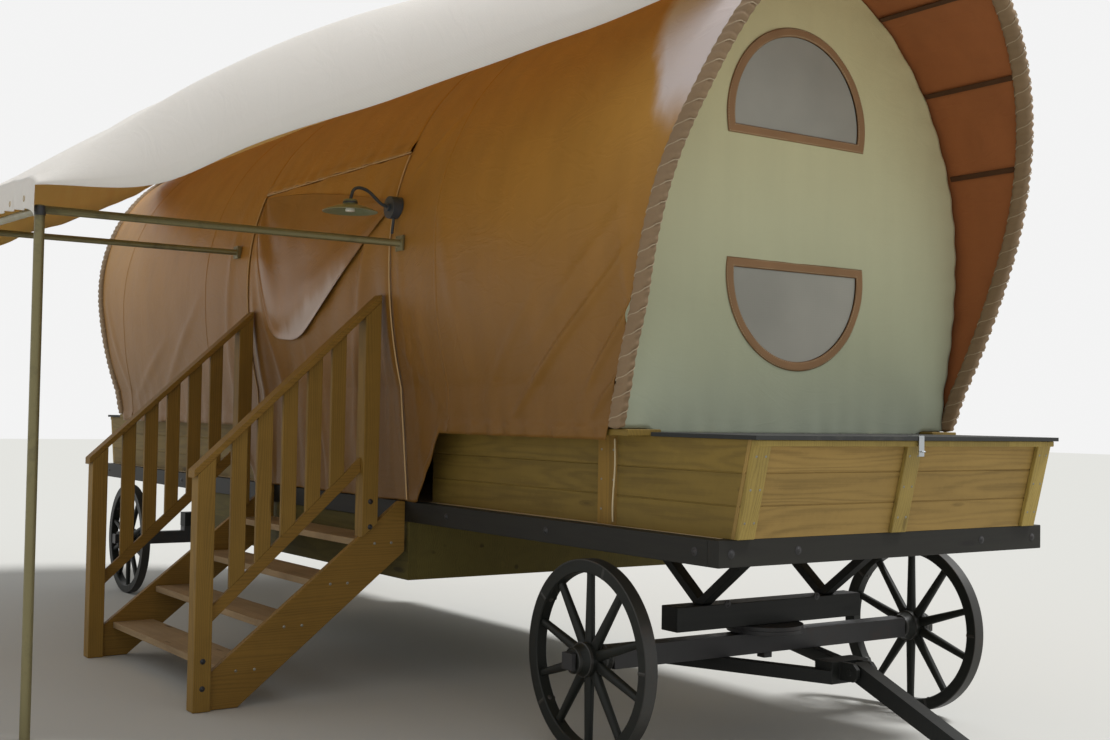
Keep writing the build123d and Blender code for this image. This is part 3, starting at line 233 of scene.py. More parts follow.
def timber(name, pale, dark, turn=(0, 0, 0), board=(9, 9, 9), start=(0, 0, 0), rough=0.62, soil=0.25):
    """Sawn softwood, oiled or stained: long faint year rings, pores, a few knots, and boards that differ.

    turn brings the grain to X, board is the size of one board on each axis and start where the
    first begins, so that each board reads its own part of the pattern.
    """
    # year rings are 3 mm apart on a real face, and are drawn at 12 mm so that they show
    rings = 0.012

    def build(tree):
        place = add(tree, "TexCoord")["Object"]
        cell = add(tree, "VectorMath", {0: place, 1: start}, operation="SUBTRACT")[0]
        cell = add(tree, "VectorMath", {0: cell, 1: board}, operation="DIVIDE")[0]
        cell = add(tree, "VectorMath", {0: cell}, operation="FLOOR")[0]
        chance = add(tree, "TexWhiteNoise", {0: cell}, noise_dimensions="3D")
        shift = add(tree, "VectorMath", {0: chance["Color"], "Scale": 7.0}, operation="SCALE")[0]
        along = add(tree, "Mapping", {0: place, 2: turn, 3: (1, 1, 1)})[0]
        along = add(tree, "VectorMath", {0: along, 1: shift}, operation="ADD")[0]
        drawn = add(tree, "Mapping", {0: along, 3: (0.45, 5.0, 5.0)})[0]
        wander = add(tree, "TexNoise", {0: drawn, 2: 1.3, 3: 2.0})["Color"]
        bent = add(tree, "VectorMath", {0: wander, "Scale": 0.11}, operation="SCALE")[0]
        bent = add(tree, "VectorMath", {0: along, 1: bent}, operation="ADD")[0]
        # knots push the rings aside: short ovals, about one to a metre of board
        spots = add(tree, "Mapping", {0: along, 3: (1.4, 6.0, 6.0)})[0]
        knot = add(tree, "TexVoronoi", {0: spots, 2: 1.0})["Distance"]
        knot = add(tree, "MapRange", {0: knot, 1: 0.04, 2: 0.13, 3: 1.0, 4: 0.0}, **SMOOTH)[0]
        push = add(tree, "Math", {0: knot, 1: 0.02}, operation="MULTIPLY")[0]
        bent = add(tree, "VectorMath", {0: bent, 1: push}, operation="ADD")[0]
        bands = {0: bent, "Scale": WAVE_BAND / rings, "Distortion": 0.9, "Detail": 2.0, "Detail Scale": 1.4}
        ring = add(tree, "TexWave", bands, bands_direction="Y")["Fac"]
        # pores are 3 mm across and 250 mm long, the broader figure 45 mm across
        pores = add(tree, "Mapping", {0: along, 3: (4.0, 300.0, 300.0)})[0]
        pores = add(tree, "TexNoise", {0: pores, 2: 1.0, 3: 2.0})["Fac"]
        figure = add(tree, "Mapping", {0: along, 3: (0.8, 22.0, 22.0)})[0]
        figure = add(tree, "TexNoise", {0: figure, 2: 1.0, 3: 3.0})["Fac"]
        grain = add(tree, "Math", {0: ring, 1: 0.28, 2: 0.0}, operation="MULTIPLY_ADD")[0]
        grain = add(tree, "Math", {0: pores, 1: 0.4, 2: grain}, operation="MULTIPLY_ADD")[0]
        grain = add(tree, "Math", {0: figure, 1: 0.55, 2: grain}, operation="MULTIPLY_ADD")[0]
        middle = tuple(0.55 * a + 0.45 * b for a, b in zip(pale, dark))
        stops = [(0.3, shade(pale, 1.12)), (0.62, pale), (0.95, middle)]
        colour = add(tree, "ValToRGB", {0: grain}, stops)[0]
        heart = add(tree, "Math", {0: knot, 1: 0.75}, operation="MULTIPLY")[0]
        colour = add(tree, "Mix", {0: heart, 6: colour, 7: shade(dark, 0.8)}, **COLOURS)[2]
        each = add(tree, "MapRange", {0: chance["Value"], 3: 0.82, 4: 1.12})[0]
        colour = add(tree, "VectorMath", {0: colour, "Scale": each}, operation="SCALE")[0]
        grime = add(tree, "TexNoise", {0: place, 2: 2.3, 3: 5.0, 4: 0.62})["Fac"]
        grime = add(tree, "MapRange", {0: grime, 1: 0.45, 2: 0.75, 3: 0.0, 4: soil})[0]
        colour = add(tree, "Mix", {0: grime, 6: colour, 7: shade(dark, 0.55)}, **COLOURS)[2]
        bump = add(tree, "Bump", {"Strength": 0.3, "Distance": 0.001, "Height": grain})[0]
        sockets = {"Base Color": colour, "Roughness": rough, "Specular IOR Level": 0.25, "Normal": bump}
        return add(tree, "BsdfPrincipled", sockets)[0]

    return finish(name, build)


def canvas(
    name, colour, thread=0.004, rough=0.5, coat=0.0, glow=0.0, fade=0.35, crease=0.5, dirt="#5a4632",
    run=(), painted_highlight=(), sun=0.85
):
    """Woven canvas: a plain weave, faint fading in blotches and fine creases.

    thread is the spacing of the drawn threads. A real thread is under 1 mm, too fine to show, so
    it is drawn at 4 mm. coat is the shine of a proofed face, and glow the light that comes through.
    run gives heights, each with the red, green and blue by which the colour is multiplied there:
    painted light and shade that make the cloth lighter or darker with height. bleach gives ways
    with the distances at which a painted sunlit patch or highlight begins and is full, and sun how pale it
    is.
    """

    def build(tree):
        coords = add(tree, "TexCoord")
        cloth, place = coords["UV"], coords["Object"]
        threads = {0: cloth, "Scale": WAVE_BAND / thread, "Distortion": 0.6}
        weave = [add(tree, "TexWave", threads, bands_direction=way)["Fac"] for way in ("X", "Y")]
        weave = add(tree, "Math", {0: weave[0], 1: weave[1]}, operation="MULTIPLY")[0]
        blotch = add(tree, "TexNoise", {0: place, 2: 1.1, 3: 6.0, 4: 0.58})["Fac"]
        streak = add(tree, "Mapping", {0: place, 3: (5.0, 5.0, 0.7)})[0]
        streak = add(tree, "TexNoise", {0: streak, 2: 1.4, 3: 4.0})["Fac"]
        worn = add(tree, "Math", {0: blotch, 1: streak}, operation="ADD")[0]
        worn = add(tree, "MapRange", {0: worn, 1: 0.75, 2: 1.25, 3: 0.0, 4: fade})[0]
        tone = add(tree, "Mix", {0: worn, 6: colour, 7: shade(colour, 1.5)}, **COLOURS)[2]
        stain = add(tree, "TexNoise", {0: place, 2: 0.55, 3: 7.0, 4: 0.7})["Fac"]
        stain = add(tree, "MapRange", {0: stain, 1: 0.5, 2: 0.8, 3: 0.0, 4: 0.32})[0]
        tone = add(tree, "Mix", {0: stain, 6: tone, 7: linear(dirt)}, **COLOURS)[2]
        # painted light and shade: the colour is multiplied by a ramp over height
        if run:
            low, high = run[0][0], run[-1][0]
            height = add(tree, "SeparateXYZ", {0: place})[2]
            height = add(tree, "Math", {0: stain, 1: 0.5, 2: height}, operation="MULTIPLY_ADD")[0]
            height = add(tree, "MapRange", {0: height, 1: low, 2: high})[0]
            stops = [((z - low) / (high - low), (*left, 1.0)) for z, left in run]
            painted_light_by_height = add(tree, "ValToRGB", {0: height}, stops)[0]
            tone = add(tree, "VectorMath", {0: tone, 1: painted_light_by_height}, operation="MULTIPLY")[0]
        # painted sunlight and highlight: where all the ways reach, the colour is mixed towards a pale lilac
        # white
        if painted_highlight:
            pale = sun
            for way, begin, full in painted_highlight:
                reach = add(tree, "VectorMath", {0: place, 1: way}, operation="DOT_PRODUCT")["Value"]
                reach = add(tree, "Math", {0: worn, 1: 0.2, 2: reach}, operation="MULTIPLY_ADD")[0]
                reach = add(tree, "MapRange", {0: reach, 1: begin, 2: full}, **SMOOTH)[0]
                pale = add(tree, "Math", {0: reach, 1: pale}, operation="MULTIPLY")[0]
            tone = add(tree, "Mix", {0: pale, 6: tone, 7: linear("#e2dadc")}, **COLOURS)[2]
        thread_tone = add(tree, "MapRange", {0: weave, 3: 0.9, 4: 1.06})[0]
        tone = add(tree, "VectorMath", {0: tone, "Scale": thread_tone}, operation="SCALE")[0]
        # creases where the cloth was folded: ridges of a stretched noise
        folds = add(tree, "Mapping", {0: cloth, 2: (0, 0, 0.5), 3: (2.6, 1.2, 1.0)})[0]
        folds = add(tree, "TexNoise", {0: folds, 2: 2.4, 3: 4.0, 4: 0.55, 8: 0.9})["Fac"]
        folds = add(tree, "Math", {0: folds, 1: 0.5}, operation="SUBTRACT")[0]
        folds = add(tree, "Math", {0: folds}, operation="ABSOLUTE")[0]
        folds = add(tree, "MapRange", {0: folds, 1: 0.0, 2: 0.09, 3: 1.0, 4: 0.0}, **SMOOTH)[0]
        relief = add(tree, "Math", {0: weave, 1: 0.12}, operation="MULTIPLY")[0]
        relief = add(tree, "Math", {0: folds, 1: crease, 2: relief}, operation="MULTIPLY_ADD")[0]
        bump = add(tree, "Bump", {"Strength": 0.5, "Distance": 0.004, "Height": relief})[0]
        sockets = {"Base Color": tone, "Roughness": rough, "Normal": bump}
        sockets.update({"Coat Weight": coat, "Coat Roughness": 0.3, "Specular IOR Level": 0.3})
        sockets.update({"Sheen Weight": 0.02, "Sheen Roughness": 0.5})
        cloth_face = add(tree, "BsdfPrincipled", sockets)[0]
        if not glow:
            return cloth_face
        through = add(tree, "BsdfTranslucent", {0: tone, 1: bump})[0]
        return add(tree, "MixShader", {0: glow, 1: cloth_face, 2: through})[0]

    return finish(name, build)


def painted(name, colour, rough=0.45, metal=0.0, worn="#4a4038", wear=0.35, grit=0.003):
    """Painted or bare metal: brush marks and chips about 3 mm across, with dust in the hollows."""

    def build(tree):
        place = add(tree, "TexCoord")["Object"]
        chips = add(tree, "TexNoise", {0: place, 2: 0.05 / grit, 3: 6.0, 4: 0.65})["Fac"]
        broad = add(tree, "TexNoise", {0: place, 2: 3.0, 3: 3.0})["Fac"]
        both = add(tree, "Math", {0: chips, 1: broad}, operation="MULTIPLY")[0]
        mark = add(tree, "MapRange", {0: both, 1: 0.27, 2: 0.42, 3: 0.0, 4: wear})[0]
        tone = add(tree, "Mix", {0: mark, 6: colour, 7: linear(worn)}, **COLOURS)[2]
        dull = add(tree, "MapRange", {0: chips, 3: rough - 0.08, 4: rough + 0.15})[0]
        bump = add(tree, "Bump", {"Strength": 0.25, "Distance": 0.0006, "Height": chips})[0]
        sockets = {"Base Color": tone, "Metallic": metal, "Roughness": dull, "Normal": bump}
        return add(tree, "BsdfPrincipled", sockets)[0]

    return finish(name, build)


def black_iron():
    """Iron under black paint, rusty brown where it is chipped."""
    return painted("black_painted_iron", linear("#1c1b1c"), 0.45, 0.0, "#3a261e", 0.4)


def grid(points, close=(False, False), flip=False, keep=None, finish_number=0):
    """Quads between the points of a grid, with UVs that are the distances along both of its ways.

    Corner (i, j) of a quad is point i * columns + j, wrapping round where the way is closed. The
    UV of a row or column is the running sum of the mean step to the next.
    """
    rows, columns = points.shape[:2]
    i, j = np.meshgrid(np.arange(rows - (not close[0])), np.arange(columns - (not close[1])), indexing="ij")
    corners = [(i, j), (i + 1, j), (i + 1, j + 1), (i, j + 1)]
    if flip:
        corners.reverse()
    faces = np.stack([(a % rows) * columns + b % columns for a, b in corners], -1).reshape(-1, 4)
    runs = []
    for way in (0, 1):
        steps = np.linalg.norm(np.roll(points, -1, way) - points, axis=2).mean(1 - way)
        runs.append(np.concatenate([[0.0], np.cumsum(steps)]))
    uvs = np.stack([np.stack([runs[0][a], runs[1][b]], -1) for a, b in corners], 2).reshape(-1, 4, 2)
    flat = points.reshape(-1, 3)
    if keep is not None:
        chosen = keep(flat[faces].mean(1))
        faces, uvs = faces[chosen], uvs[chosen]
    return flat, faces, uvs, finish_number


def copies(part, places, turns=None):
    """One part repeated: turned by each matrix, then moved to each place."""
    points, faces, uvs, number = part
    places = np.asarray(places, float)
    turned = points[None] if turns is None else np.einsum("nij,kj->nki", np.asarray(turns, float), points)
    moved = (turned + places[:, None]).reshape(-1, 3)
    shifts = np.arange(len(places)) * len(points)
    moved_faces = (faces[None] + shifts[:, None, None]).reshape(-1, 4)
    return moved, moved_faces, np.tile(uvs, (len(places), 1, 1)), number


def turn_rear(part):
    """The same part turned half round about the middle of the bed, for the other end."""
    points, faces, uvs, number = part
    return points * (-1, -1, 1) + (-BED, 0, 0), faces, uvs, number


def both_ends(parts):
    """Parts of the front end, and then the same for the rear end."""
    return parts + [turn_rear(part) for part in parts]


def make(name, body, parts, finishes, stands_for=(), wall=None, smooth=40.0, outward=False):
    """Mesh object from several parts, riding on a body.

    wall is a cloth's thickness, put inside the given face. Edges sharper than smooth, in degrees,
    are shown as edges. outward turns all faces of closed parts outwards.
    """
    offset, points, faces, uvs, numbers = 0, [], [], [], []
    for part_points, part_faces, part_uvs, number in parts:
        points.append(part_points)
        faces.append(part_faces + offset)
        uvs.append(part_uvs)
        numbers.append(np.full(len(part_faces), number))
        offset += len(part_points)
    points = np.concatenate(points) + ORIGIN
    faces = np.concatenate(faces)
    mesh = bpy.data.meshes.new(name)
    mesh.from_pydata(points.tolist(), [], faces.tolist())
    mesh.polygons.foreach_set("material_index", np.concatenate(numbers).astype(np.int32))
    mesh.uv_layers.new(name="cloth").data.foreach_set("uv", np.concatenate(uvs).reshape(-1))
    work = bmesh.new()
    work.from_mesh(mesh)
    bmesh.ops.remove_doubles(work, verts=work.verts, dist=WELD)
    loose = [v for v in work.verts if not v.link_faces]
    bmesh.ops.delete(work, geom=loose, context="VERTS")
    if outward:
        bmesh.ops.recalc_face_normals(work, faces=work.faces)
    work.to_mesh(mesh)
    work.free()
    for one in finishes:
        mesh.materials.append(one)
    mesh.shade_smooth()
    thing = bpy.data.objects.new(name, mesh)
    bpy.context.scene.collection.objects.link(thing)
    if smooth < 180:
        mesh.set_sharp_from_angle(angle=np.radians(smooth))
    if wall:
        solid = thing.modifiers.new("thickness", "SOLIDIFY")
        solid.thickness, solid.offset = wall, -1.0
        solid.material_offset = 1 if len(finishes) > 1 else 0
    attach(thing, body)
    if stands_for:
        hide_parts(*stands_for)
    return thing


def waves(a, b, size, seed, count=16):
    """Smooth irregular relief between about -1 and 1: sines with random ways and phases, summed.

    Their lengths are 0.6 to 1.7 times the size.
    """
    chance = np.random.default_rng(seed)
    way, phase = chance.uniform(0, 2 * np.pi, (2, count))
    rate = 2 * np.pi / (size * chance.uniform(0.6, 1.7, count))
    a, b = np.asarray(a)[..., None], np.asarray(b)[..., None]
    return np.sin(rate * (a * np.cos(way) + b * np.sin(way)) + phase).mean(-1) * 2.2


def ripple(run, size, shift=0.0):
    """Even wave between -1 and 1, one to each length of size."""
    return np.sin(2 * np.pi * run / size + shift)


def squared(angle, power):
    """Cosine and sine of an angle, raised to a power below 1 with their signs kept: a rounded square."""
    return [np.sign(f) * np.abs(f) ** power for f in (np.cos(angle), np.sin(angle))]


def round_about(count):
    """Angles of so many spokes round a full turn."""
    return np.linspace(0, 2 * np.pi, count, endpoint=False)


def ridge(a, b, start, end, width):
    """Crease from start to end: 1 on its line, a bell of the given width across it, nothing at both ends."""
    start, end = np.asarray(start, float), np.asarray(end, float)
    line = end - start
    share = ((a - start[0]) * line[0] + (b - start[1]) * line[1]) / (line @ line)
    off = np.abs((a - start[0]) * line[1] - (b - start[1]) * line[0]) / np.sqrt(line @ line)
    inside = np.clip(share, 0, 1)
    return np.exp(-((off / width) ** 2)) * np.sin(np.pi * inside) ** 0.7 * (share > 0) * (share < 1)


def creases(a, b, lines):
    """All creases of a table, summed: each is a start, an end, a width and a height."""
    return sum(rise * ridge(a, b, start, end, width) for start, end, width, rise in lines)


def smooth_step(value, low, high):
    """0 below low, 1 above high, with an S curve between."""
    share = np.clip((value - low) / (high - low), 0, 1)
    return share * share * (3 - 2 * share)


class Section:
    """Half section of the cover: top arc, side arc, low arc and a straight run, from the crown down."""

    def __init__(self, cover):
        crown = np.radians(cover.crown_angle)
        self.centre = cover.crown_height - cover.crown_radius
        side = cover.crown_radius + (self.centre - cover.belly_height) / np.cos(crown)
        turn = np.arcsin((cover.belly_height - cover.low_height) / cover.low_radius)
        low_y = cover.belly_half - cover.low_radius
        self.arcs = [
            (0.0, self.centre, cover.crown_radius, 0.0, crown),
            (cover.belly_half - side, cover.belly_height, side, crown, np.pi / 2),
            (low_y, cover.belly_height, cover.low_radius, np.pi / 2, np.pi / 2 + turn),
        ]
        self.knee = (low_y + cover.low_radius * np.cos(turn), cover.low_height)
        self.foot = (cover.foot_half, cover.foot_height)
        self.lengths = np.cumsum([radius * (end - start) for _, _, radius, start, end in self.arcs])
        straight = np.hypot(*np.subtract(self.foot, self.knee))
        self.table = np.linspace(0, self.lengths[2] + straight, 2000)
        self.heights = self.at(self.table)[..., 1]

    def at(self, s, grow=0.0):
        """Point (y, z) and outward way (y, z) at distance s from the crown, moved out by grow.

        On an arc it is the centre + (radius + grow) * (sin a, cos a). It is on the right where s
        is above 0.
        """
        s, grow = np.broadcast_arrays(np.asarray(s, float), np.asarray(grow, float))
        down = np.abs(s)
        begun = np.concatenate([[0.0], self.lengths])
        points = []
        for (cy, cz, radius, start, _), before in zip(self.arcs, begun):
            angle = start + (down - before) / radius
            way = np.stack([np.sin(angle), np.cos(angle)], -1)
            points.append(np.concatenate([np.array([cy, cz]) + (radius + grow)[..., None] * way, way], -1))
        run = np.subtract(self.foot, self.knee)
        run = run / np.hypot(*run)
        way = np.broadcast_to([-run[1], run[0]], down.shape + (2,))
        spot = np.array(self.knee) + (down - begun[3])[..., None] * run + grow[..., None] * way
        points.append(np.concatenate([spot, way], -1))
        piece = np.searchsorted(self.lengths, down, side="right")
        found = np.select([(piece == k)[..., None] for k in range(4)], points)
        return found * np.stack([-np.where(s < 0, -1.0, 1.0), np.ones_like(s)] * 2, -1)

    def down_to(self, z):
        """Distance from the crown at which the section is at height z."""
        return np.interp(-np.asarray(z, float), -self.heights, self.table)


def hem_x(z):
    """Front face of the leaning hem at a height."""
    return HEM_FOOT[0] + LEAN * (z - HEM_FOOT[1])


def drawn_in(x, z, side):
    """How far the lace draws the skin in near each end, on the right of one who faces that end.

    It is 62 mm at most, grows over the last 1.45 m of the roof and fades out below and above.
    """
    ahead = np.where(side > 0, x, -BED - x)
    height = smooth_step(z, 1.62, 2.1) * (1 - smooth_step(z, 2.9, 3.6))
    return 0.062 * smooth_step(ahead, -1.9, -0.45) * height


def skin_points(section, x, s, grow):
    """Points of the cover's skin at x and distance s from the crown, moved out by grow."""
    cut = section.at(s, grow - drawn_in(x, section.at(s)[..., 1], s))
    return np.stack([np.broadcast_to(x, s.shape), cut[..., 0], cut[..., 1]], -1)


# creases of the cover on the door side and of the other side, and of the door: each runs between
# two points (x, z), with its width and its height
DOOR_SIDE_CREASES = (
    ((-0.44, 2.34), (-1.50, 1.52), 0.022, 0.026),
    ((-0.38, 2.14), (-0.86, 1.66), 0.019, 0.024),
    ((-0.44, 1.86), (-0.82, 1.54), 0.018, 0.020),
    ((-0.50, 2.52), (-1.30, 1.86), 0.040, 0.012),
    ((-1.15, 2.20), (-1.75, 1.60), 0.035, 0.008),
    ((-0.60, 2.60), (-0.44, 1.60), 0.035, 0.010),
    ((-2.08, 3.24), (-2.50, 2.80), 0.022, 0.012),
    ((-2.20, 3.15), (-1.80, 1.60), 0.050, 0.008),
    ((-2.52, 2.80), (-2.40, 1.16), 0.020, 0.010),
    ((-2.35, 2.20), (-2.20, 1.52), 0.035, 0.010),
    ((-2.55, 1.95), (-2.10, 1.55), 0.030, 0.010),
    ((-4.90, 3.20), (-5.10, 1.30), 0.040, 0.012),
    ((-5.50, 2.40), (-6.60, 1.60), 0.050, 0.014),
    ((-6.30, 2.10), (-7.30, 1.60), 0.040, 0.012),
    ((-7.90, 2.60), (-7.30, 1.60), 0.040, 0.010),
)
FAR_SIDE_CREASES = (
    ((-0.50, 2.20), (-1.50, 1.55), 0.035, 0.013),
    ((-7.80, 2.20), (-6.80, 1.55), 0.035, 0.013),
    ((-2.40, 2.60), (-2.60, 1.50), 0.045, 0.009),
    ((-4.15, 2.60), (-4.10, 1.50), 0.045, 0.009),
    ((-5.90, 2.60), (-5.70, 1.50), 0.045, 0.009),
)
DOOR_CREASES = (
    ((-2.75, 2.95), (-3.25, 1.30), 0.045, 0.016),
    ((-3.05, 2.20), (-3.20, 1.10), 0.040, 0.013),
    ((-2.70, 2.20), (-2.80, 1.10), 0.035, 0.012),
    ((-4.60, 2.90), (-4.10, 1.50), 0.050, 0.016),
    ((-4.55, 2.40), (-4.45, 1.10), 0.035, 0.014),
    ((-3.78, 2.10), (-3.60, 1.10), 0.045, 0.014),
)


def cover_folds(section, x, s, low):
    """How far the skin stands out: broad slack, gathers above the hem and creases. low is the hem's s."""
    z = section.at(s)[..., 1]
    side = s > 0
    above = low - np.abs(s)
    out = 0.006 + 0.004 * waves(x, s, 1.3, 3) + 0.0022 * waves(x, s, 0.42, 5)
    out += 0.005 * np.exp(-np.clip(above, 0, None) / 0.16) * ripple(x, 0.19, 2 * waves(x, s, 0.7, 8))
    out += side * creases(x, z, DOOR_SIDE_CREASES) + ~side * creases(x, z, FAR_SIDE_CREASES)
    # the turned up hem is twice as thick, 65 mm wide and puckered by its cord
    out += 0.010 * (1 - smooth_step(above, 0.056, 0.070)) * (1 + 0.5 * waves(x, s, 0.14, 12))
    return np.clip(out, 0.001, 0.040)


class WAGON_OT_cover(bpy.types.Operator):
    """Canvas cover over the hoops, with its skirt beside the door and seams over the roof"""

    bl_idname = "wagon.cover"
    bl_label = "Canvas cover"

    def execute(self, context):
        cover = context.scene.wagon_cover
        section = Section(cover)
        hem = section.down_to(cover.hem_height)
        door_top = section.down_to(DOOR_HEAD)

        def panel(x_of, low_of, rows, columns, thin=0.24):
            """Grid from the left hem over the roof to the right hem.

            x_of gives x at a height and a share of the way along the wagon, low_of the right
            hem's distance from the crown. Rows are closest low on the door side, where the cloth
            creases, and a first share of the way, thin, has only a quarter of the columns.
            """
            u = np.interp(np.linspace(0, 1, rows), [0, 0.42, 1], [0, 0.70, 1])[:, None]
            v = np.interp(np.linspace(0, 1, columns), [0, 0.24, 1], [0, thin, 1])[None, :]
            z = section.at(-hem + u * 2 * hem)[..., 1]
            x = x_of(z, v)
            low = low_of(x[-1])[None, :]
            s = -hem + u * (hem + low)
            grow = cover_folds(section, x, s, np.where(s > 0, low, hem)) * cover.fold
            return grid(skin_points(section, x, s, grow))

        def skirt(x):
            """Hem on the door side: level, then down to the skirt's foot next to the door."""
            level, foot = cover.hem_height, cover.foot_height
            z = np.interp(-x, [2.20, 2.48, 4.76, 5.04], [level, foot, foot, level])
            return section.down_to(z)

        def before_door(z, v):
            """x from the door's front edge to the front hem."""
            return DOOR_FRONT + v * (hem_x(z) - HEM_WIDTH - DOOR_FRONT)

        def over_door(z, v):
            """x over the door, from its rear to its front edge."""
            return DOOR_REAR + v * (DOOR_FRONT - DOOR_REAR) + 0 * z

        def behind_door(z, v):
            """x from the rear hem to the door's rear edge."""
            return (HEM_WIDTH - BED - hem_x(z)) * (1 - v) + v * DOOR_REAR

        parts = [
            panel(before_door, skirt, 205, 140, 0.44),
            panel(over_door, lambda x: np.full(x.shape, door_top), 110, 50),
            panel(behind_door, skirt, 150, 95),
        ]
        cloth = cover_cloth(cover)
        node = ["cover_canvas"]
        thing = make("canvas_cover", "wagon", parts, cloth, node, wall=0.003, smooth=180)
        # felled seams over the roof, 28 mm wide, where two widths of cloth are sewn together
        s = np.linspace(-hem + 0.01, hem - 0.01, 260)[:, None]
        tape = np.linspace(-1, 1, 7)[None, :]
        lift = 0.0024 * (1 - tape**4)
        seams = []
        for x in (-2.10, -5.45, -7.35):
            spot, run = x + 0.014 * tape + 0 * s, s + 0 * tape
            seams.append(grid(skin_points(section, spot, run, cover_folds(section, spot, run, hem) + lift)))
        make("cover_seams", "wagon", seams, cloth[:1], wall=0.0012, smooth=180)
        return {"FINISHED"}


def cover_cloth(cover):
    """Finishes of the cover's outer and inner side: proofed canvas, lighter and bluer up high as painted
    light, darker low down, with a painted sunlit patch behind the front hem.
    """
    # painted light: lighter and bluer up high, standing in for light through the fly sheet, and darker low
    # down
    painted_light_by_height = (
        (1.1, (0.50, 0.48, 0.38)),
        (1.7, (0.58, 0.55, 0.45)),
        (2.3, (0.82, 0.80, 0.80)),
        (2.9, (1.20, 1.24, 1.50)),
        (3.8, (1.60, 1.55, 2.10)),
    )
    # painted sunlight: the pale patch behind the front hem, on the door side, where the sun falls past the
    # fly sheet:
    # it begins on a line that leans back, from x -0.35 at z 2.8 to x -0.60 at z 3.3
    patch = [
        ((1.0, 0.0, 0.5), FRONT_X + 1.03, FRONT_X + 1.14),
        ((0.0, 0.0, 1.0), 2.74, 3.06),
        ((0.0, -1.0, 0.0), -CENTRE_Y, 0.6 - CENTRE_Y),
    ]
    proofed = {"rough": 0.5, "coat": 0.06, "crease": 0.4}
    outer = canvas("proofed_canvas_outer", tuple(cover.outer), run=painted_light_by_height, painted_highlight=patch, **proofed)
    inner = canvas("proofed_canvas_inner", tuple(cover.inner), rough=0.6, glow=0.15)
    return outer, inner


def tube(path, radius, sides=16, reference=(0, 0, 1), finish_number=0):
    """Round bar along a path: at each point a circle square to the path.

    Its first spoke is square to the reference.
    """
    path = np.asarray(path, float)
    along = np.gradient(path, axis=0)
    along /= np.linalg.norm(along, axis=1, keepdims=True)
    across = np.cross(along, reference)
    across /= np.linalg.norm(across, axis=1, keepdims=True)
    up = np.cross(across, along)
    angle = round_about(sides)[None, :, None]
    circle = np.cos(angle) * across[:, None] + np.sin(angle) * up[:, None]
    points = path[:, None] + radius * circle
    points = np.concatenate([path[:1, None] + 0 * points[:1], points, path[-1:, None] + 0 * points[-1:]])
    return grid(points, close=(False, True), flip=True, finish_number=finish_number)


def turned(profile, sides=48, centre=(0, 0, 0), axis=2, close=False, finish_number=0):
    """Shape turned on a lathe: (radius, height) pairs carried round the axis.

    close joins the last pair to the first.
    """
    profile = np.asarray(profile, float)
    angle = round_about(sides)[None, :]
    radius, height = profile[:, :1], profile[:, 1:]
    around = [radius * np.cos(angle), radius * np.sin(angle), height + 0 * angle]
    order = {0: (2, 0, 1), 1: (1, 2, 0), 2: (0, 1, 2)}[axis]
    points = np.stack([around[k] for k in order], -1) + np.asarray(centre, float)
    return grid(points, close=(close, True), finish_number=finish_number)


def mirrored(profile):
    """Profile of (radius, height) pairs above the middle, with the same below it, from low to high."""
    return [(radius, -height) for radius, height in profile] + list(reversed(profile))


def rounded(points, steps=5, share=0.25):
    """Line with its corners cut to smooth bends.

    Each corner becomes a quadratic curve between two points, a share of the way along its sides.
    """
    points = np.asarray(points, float)
    out = [points[:1]]
    t = np.linspace(0, 1, steps + 2)[:, None]
    for before, corner, after in zip(points[:-2], points[1:-1], points[2:]):
        a, b = corner + (before - corner) * share, corner + (after - corner) * share
        out.append((1 - t) ** 2 * a + 2 * t * (1 - t) * corner + t**2 * b)
    out.append(points[-1:])
    return np.concatenate(out)


def facing(way):
    """Matrix that turns Z to a way."""
    return np.array(Vector(way).to_track_quat("Z", "Y").to_matrix())


def studs(places, way, radius, finish_number=0):
    """Coach bolt heads: low domes on a thin washer, that look along a way from each place."""
    dome = [(0.0, 0.55), (0.45, 0.48), (0.8, 0.28), (1.0, 0.1), (1.35, 0.08), (1.4, -0.2), (0.0, -0.2)]
    head = turned(np.array(dome) * radius, 12, finish_number=finish_number)
    return copies(head, places, [facing(way)] * len(places))


def bolts(node, starts, way, radius):
    """Bolt heads where a ray from each start along a way first strikes a CAD node, square to its face."""
    mesh = frame["nodes"][node].data
    tree = BVHTree.FromPolygons([v.co for v in mesh.vertices], [p.vertices for p in mesh.polygons])
    shift = Vector(ORIGIN)
    heads = []
    for start in starts:
        hit, out, _, _ = tree.ray_cast(Vector(start) + shift, Vector(way))
        if hit:
            heads.append(studs([np.array(hit - shift)], out, radius))
    return heads


def body_name(node):
    """Body that a CAD node rides on."""
    return next(name for name, nodes in frame["record"]["behaviour"]["bodies"].items() if node in nodes)


def eased(node, material, width):
    """The CAD node's own form, its loose triangles merged and its sharp edges eased by a bevel."""
    mesh = frame["nodes"][node].data.copy()
    work = bmesh.new()
    work.from_mesh(mesh)
    bmesh.ops.remove_doubles(work, verts=work.verts, dist=CAD_WELD)
    bmesh.ops.dissolve_limit(work, angle_limit=0.002, verts=work.verts, edges=work.edges)
    bmesh.ops.recalc_face_normals(work, faces=work.faces)
    work.to_mesh(mesh)
    work.free()
    mesh.materials.clear()
    mesh.materials.append(material)
    mesh.shade_smooth()
    mesh.set_sharp_from_angle(angle=np.radians(32))
    thing = bpy.data.objects.new(node + "_eased", mesh)
    bpy.context.scene.collection.objects.link(thing)
    if width:
        bevel = thing.modifiers.new("eased edges", "BEVEL")
        bevel.width, bevel.segments = width, 2
        bevel.limit_method, bevel.angle_limit = "ANGLE", np.radians(35)
        bevel.harden_normals = True
    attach(thing, body_name(node))
    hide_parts(node)
    return thing


# how far the middle of the sleeve lies outside the cover's section
SLEEVE_LIFT = 0.002


